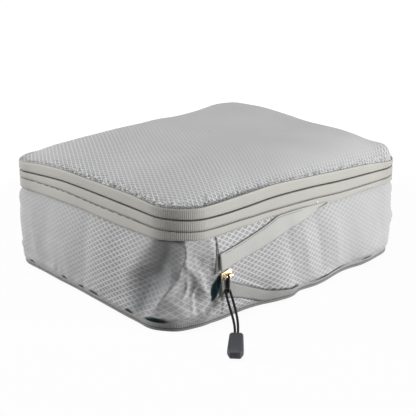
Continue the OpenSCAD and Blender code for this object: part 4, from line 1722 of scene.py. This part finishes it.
@dataclass
class HingeStrip:
    """The fabric hinge across the back."""

    form: BagForm
    finishes: Finishes
    low: float = 84.2
    high: float = 101.4
    thickness: float = 0.5

    def build(self) -> None:
        """Makes the strip, bowed a little between the upper band and the lid."""
        low_box, high_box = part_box("hinge_web")
        x = np.linspace(low_box.x, high_box.x, 90)[:, None] / MM
        t = np.linspace(0, 1, 22)[None, :]
        back = self.form.outline.depth / 2
        soft = Crumple(17)
        y = back + 0.75 + 0.25 * np.sin(math.pi * t) + 0.12 * soft.soft(x / 14, t * 3)
        z = self.low + (self.high - self.low) * t + 0.15 * soft.soft(x / 9 + 5, t * 2)
        x, y, z = np.broadcast_arrays(x[::-1], y, z)
        places = np.stack([-x, z], 2) * MM
        strip = grid_mesh("hinge_strip", np.stack([x, y, z], 2), places, self.finishes.trim)
        thicken(strip, self.thickness)
        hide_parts("hinge_web")
        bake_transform(strip)
        LOG.info("piece hinge_strip bends between upper and lid")


@dataclass
class PullCord:
    """A cord loop from its grip through its tab and back."""

    name: str
    node: str
    grip: Object
    body: Body
    route: Array
    side: Vector
    finish: bpy.types.Material
    diameter: float = 2.0
    sides: int = 12

    def centreline(self) -> Array:
        """The route on one smooth curve."""
        route = self.route
        p = np.concatenate([[2 * route[0] - route[1]], route, [2 * route[-1] - route[-2]]])
        spans = []
        for k in range(1, len(p) - 2):
            t = np.linspace(0, 1, 6, endpoint=False)[:, None]
            a, b, c, d = p[k - 1], p[k], p[k + 1], p[k + 2]
            spans.append(0.5 * (2 * b + (c - a) * t + (2 * a - 5 * b + 4 * c - d) * t ** 2
                                + (3 * b - a - 3 * c + d) * t ** 3))
        return np.concatenate([*spans, route[-1:]])

    def build(self) -> None:
        """Makes the cord as a braided tube and states its length."""
        line = self.centreline()
        ahead = np.gradient(line, axis=0)
        ahead /= np.linalg.norm(ahead, axis=1)[:, None]
        across = np.cross(ahead, np.array(self.side))
        across /= np.linalg.norm(across, axis=1)[:, None]
        over = np.cross(ahead, across)
        turn = np.linspace(0, 2 * math.pi, self.sides, endpoint=False)[None, :, None]
        ring = across[:, None, :] * np.cos(turn) + over[:, None, :] * np.sin(turn)
        points = line[:, None, :] + self.diameter / 2 * ring
        steps = np.concatenate([[0.0], np.cumsum(np.linalg.norm(np.diff(line, axis=0), axis=1))])
        places = np.meshgrid(steps * MM, np.linspace(0, 1, self.sides + 1), indexing="ij")
        cord = grid_mesh(self.name, points, np.stack(places, 2), self.finish, wrap_v=True)
        self._cap(cord, len(line))
        settle(cord, self.body, Slot.CORD, self.node)
        self.diameter * MM
        LOG.info("cord %s is %.1f mm long", self.name, steps[-1])

    def _cap(self, cord: Object, rings: int) -> None:
        """Closes the tube's two ends."""
        body = bmesh.new()
        body.from_mesh(cord.data)
        body.verts.ensure_lookup_table()
        first = [body.verts[k] for k in range(self.sides)]
        last = [body.verts[(rings - 1) * self.sides + k] for k in range(self.sides)]
        body.faces.new(first)
        body.faces.new(last[::-1])
        bmesh.ops.recalc_face_normals(body, faces=body.faces)
        body.to_mesh(cord.data)
        body.free()


COMP_ROUTE = (
    (-24.6, -38.6, 8.6), (-17.4, -31.6, 10.4), (-11.5, -25.1, 12.2), (-6.7, -18.9, 14.5), (-3.0, -13.3, 17.5),
    (-0.5, -8.5, 21.4), (0.8, -4.4, 26.2), (0.2, -4.0, 28.2), (-1.6, -3.9, 29.0), (-3.4, -4.0, 28.2),
    (-4.0, -4.4, 26.2), (-5.5, -8.2, 21.4), (-7.8, -12.8, 17.5), (-10.6, -17.9, 14.5), (-14.5, -23.7, 12.2),
    (-19.5, -30.0, 10.4), (-26.1, -36.9, 8.6),
)
MAIN_ROUTE = (
    (7.6, -0.2, -51.8), (7.3, -0.1, -47.8), (6.9, 0.1, -43.6), (6.4, 0.5, -39.4), (5.9, 0.9, -35.2),
    (5.4, 1.4, -31.0), (4.9, 1.9, -26.8), (4.5, 2.2, -22.6), (4.1, 2.4, -18.6), (3.9, 2.3, -15.4),
    (3.9, 1.1, -12.7), (3.9, -1.6, -11.5), (3.9, -4.3, -12.7), (3.9, -5.5, -15.4), (4.1, -5.6, -18.6),
    (4.5, -5.4, -22.6), (4.9, -5.1, -26.8), (5.4, -4.6, -31.0), (5.9, -4.1, -35.2), (6.4, -3.7, -39.4),
    (6.9, -3.3, -43.6), (7.3, -3.1, -47.8), (7.6, -3.0, -51.8),
)


@dataclass
class Hardware:
    """Sliders, tabs, stops, grips and their cords."""

    finishes: Finishes
    plate_face: float = 1.4
    grip_round: float = 0.7
    stop_round: float = 0.2

    def soften(self, node: str, name: str, width: float, material: bpy.types.Material) -> Object:
        """A copy of a rigid solid with its edges rounded.

        Args:
            node: the solid's name.
            name: the new piece's name.
            width: width of the rounding in millimetres.
            material: its finish.

        Returns:
            The new piece, not yet seated.
        """
        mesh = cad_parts[node].data.copy()
        body = bmesh.new()
        body.from_mesh(mesh)
        bmesh.ops.remove_doubles(body, verts=body.verts, dist=1e-6)
        bmesh.ops.dissolve_limit(body, angle_limit=math.radians(2.0), verts=body.verts, edges=body.edges)
        for face in body.faces:
            face.smooth = True
        body.to_mesh(mesh)
        body.free()
        mesh.name = name
        mesh.materials.clear()
        mesh.materials.append(material)
        piece = link(bpy.data.objects.new(name, mesh))
        bevel = piece.modifiers.new("rounding", "BEVEL")
        bevel.width = width * MM
        bevel.segments = 3
        bevel.limit_method = "ANGLE"
        bevel.angle_limit = math.radians(35)
        bevel.harden_normals = True
        return piece

    def slider(self, node: str) -> tuple[Array, Array]:
        """The lowest and highest corner of a slider's body, in millimetres."""
        low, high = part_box(node)
        return np.array(low) / MM, np.array(high) / MM

    def grips_and_cords(self) -> None:
        """Makes both moulded grips and the cord loops that hold them."""
        low, high = self.slider("comp_slider_body")
        under = np.array([(low[0] + high[0]) / 2, low[1] + self.plate_face, 0.0])
        low, high = self.slider("main_slider_body")
        beside = np.array([high[0] - self.plate_face, (low[1] + high[1]) / 2, (low[2] + high[2]) / 2])
        rows = (
            ("comp", Body.COMP_GRIP, Body.COMP_CORD, under + np.array(COMP_ROUTE), (0.2, 0.66, -0.7)),
            ("main", Body.MAIN_GRIP, Body.MAIN_CORD, beside + np.array(MAIN_ROUTE), (1.0, 0.0, 0.0)),
        )
        for word, grip_body, cord_body, route, side in rows:
            node = word + "_pull_grip"
            grip = self.soften(node, word + "_grip_moulding", self.grip_round, self.finishes.grip)
            settle(grip, grip_body, Slot.GRIP, node)
            PullCord(word + "_pull_loop", word + "_pull_cord", grip, cord_body, route, Vector(side),
                     self.finishes.cord).build()

    def metal(self) -> None:
        """Rounds and plates the sliders, crowns, tabs and stops."""
        rows = (
            ("comp_slider_body", Body.COMP_SLIDER, 0.35), ("comp_slider_crown", Body.COMP_SLIDER, 0.3),
            ("comp_pull_tab", Body.COMP_TAB, 0.12), ("main_slider_body", Body.MAIN_SLIDER, 0.35),
            ("main_slider_crown", Body.MAIN_SLIDER, 0.3), ("main_pull_tab", Body.MAIN_TAB, 0.12),
        )
        for node, body, width in rows:
            finish = self.finishes.tab if node.endswith("tab") else self.finishes.brass
            piece = self.soften(node, node + "_plated", width, finish)
            settle(piece, body, Slot.BRASS, node)
        for node, body in (("comp_lower_stop", Body.BASE), ("comp_upper_stop", Body.UPPER),
                           ("main_zip_stops", Body.UPPER)):
            piece = self.soften(node, node + "_folded", self.stop_round, self.finishes.stops)
            settle(piece, body, Slot.STOPS, node)


@dataclass(frozen=True)
class Lamp:
    """One soft lamp."""

    name: str
    place: tuple[float, float, float]
    size: float
    power: float


@dataclass
class Studio:
    """Camera, floor and soft light."""

    eye: tuple[float, float, float] = (-0.51757, -0.55274, 0.27727)
    target: tuple[float, float, float] = (-0.01203, -0.011, 0.05158)
    lens: float = 68.085
    lamps: tuple[Lamp, ...] = (
        Lamp("key_lamp", (0.75, -1.42, 0.30), 0.7, 24.0),
        Lamp("left_lamp", (-1.12, 1.08, 0.44), 0.6, 17.0),
        Lamp("top_lamp", (-0.14, -0.02, 1.50), 0.7, 10.0),
    )
    aim: tuple[float, float, float] = (0.0, 0.0, 0.06)
    ambient: float = 0.07
    floor_half: float = 6.0
    floor_z: float = -0.0004

    def camera(self) -> None:
        """Sets the camera at the photograph's angle."""
        data = bpy.data.cameras.new("camera")
        data.lens = self.lens
        data.sensor_width = 36.0
        data.clip_start = 0.01
        camera = link(bpy.data.objects.new("camera", data))
        camera.location = self.eye
        look = Vector(self.target) - Vector(self.eye)
        camera.rotation_euler = look.to_track_quat("-Z", "Y").to_euler()
        bpy.context.scene.camera = camera

    def light(self) -> None:
        """Hangs the lamps."""
        for lamp in self.lamps:
            data = bpy.data.lights.new(lamp.name, "AREA")
            data.size = lamp.size
            data.energy = lamp.power
            obj = link(bpy.data.objects.new(lamp.name, data))
            obj.location = lamp.place
            aim = Vector(self.aim) - Vector(lamp.place)
            obj.rotation_euler = aim.to_track_quat("-Z", "Y").to_euler()

    def seen(self, shader: Shader) -> Value:
        """1 for rays that show the background: to the eye, off gloss and through glass."""
        path = [shader.node("ShaderNodeLightPath", None, None, name) for name in
                ("Is Camera Ray", "Is Glossy Ray", "Is Transmission Ray")]
        return path[0].greater(path[1]).greater(path[2])

    def world(self) -> None:
        """White behind the object, with an even dim light from all round."""
        shader = WorldShader("studio")
        shader.put(shader.surface.inputs["Color"], (1.0, 1.0, 1.0))
        strength = self.ambient + self.seen(shader) * (1.0 - self.ambient)
        shader.put(shader.surface.inputs["Strength"], strength)

    def floor(self) -> None:
        """Lays the pale floor."""
        mesh = bpy.data.meshes.new("floor")
        corners = ((-1, -1), (1, -1), (1, 1), (-1, 1))
        mesh.from_pydata([(x * self.floor_half, y * self.floor_half, self.floor_z) for x, y in corners], [],
                         [(0, 1, 2, 3)])
        shader = Shader("pale_floor", Roughness=0.9, Specular_IOR_Level=0.1)
        shader.surface.inputs["Base Color"].default_value = (0.27, 0.27, 0.27, 1.0)
        glow = shader.node("ShaderNodeEmission", None, {"Color": (1.0, 1.0, 1.0), "Strength": 1.13})
        reach = shader.node("ShaderNodeVectorMath", {"operation": "LENGTH"}, {0: shader.place()}, "Value")
        share = self.seen(shader) * (0.84 + reach.ease(0.3, 0.9) * 0.16)
        mixed = shader.node("ShaderNodeMixShader", None,
                            {0: share, 1: Value(shader, shader.surface.outputs[0]), 2: glow})
        shader.put(shader.tree.nodes["Material Output"].inputs["Surface"], mixed)
        mesh.materials.append(shader.material)
        link(bpy.data.objects.new("floor", mesh))

    def build(self) -> None:
        """Sets up the whole studio."""
        self.camera()
        self.light()
        self.world()
        self.floor()
        bpy.context.scene.view_settings.view_transform = "Standard"


def bag_form() -> BagForm:
    """The bag's form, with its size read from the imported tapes."""
    low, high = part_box("comp_upper_tape")
    size = (high - low) / MM
    return BagForm(Outline(round(size.x, 3), round(size.y, 3), CORNER_RADIUS))


def main() -> None:
    """Builds the studio and every piece of the cube, in order."""
    logging.basicConfig(level=logging.INFO, format="%(message)s")
    Studio().build()
    form = bag_form()
    finishes = Finishes()
    hardware = Hardware(finishes)
    hardware.grips_and_cords()
    hardware.metal()
    repeat = RepeatTree()
    wall = GussetWall(form, finishes)
    wall.build()
    FrontLeads(form, finishes, wall, repeat).build()
    Bands(form, finishes, repeat).build()
    Lid(form, finishes, repeat).build()
    FloorPanel(form, finishes).build()
    HingeStrip(form, finishes).build()


if __name__ == "__main__":
    main()
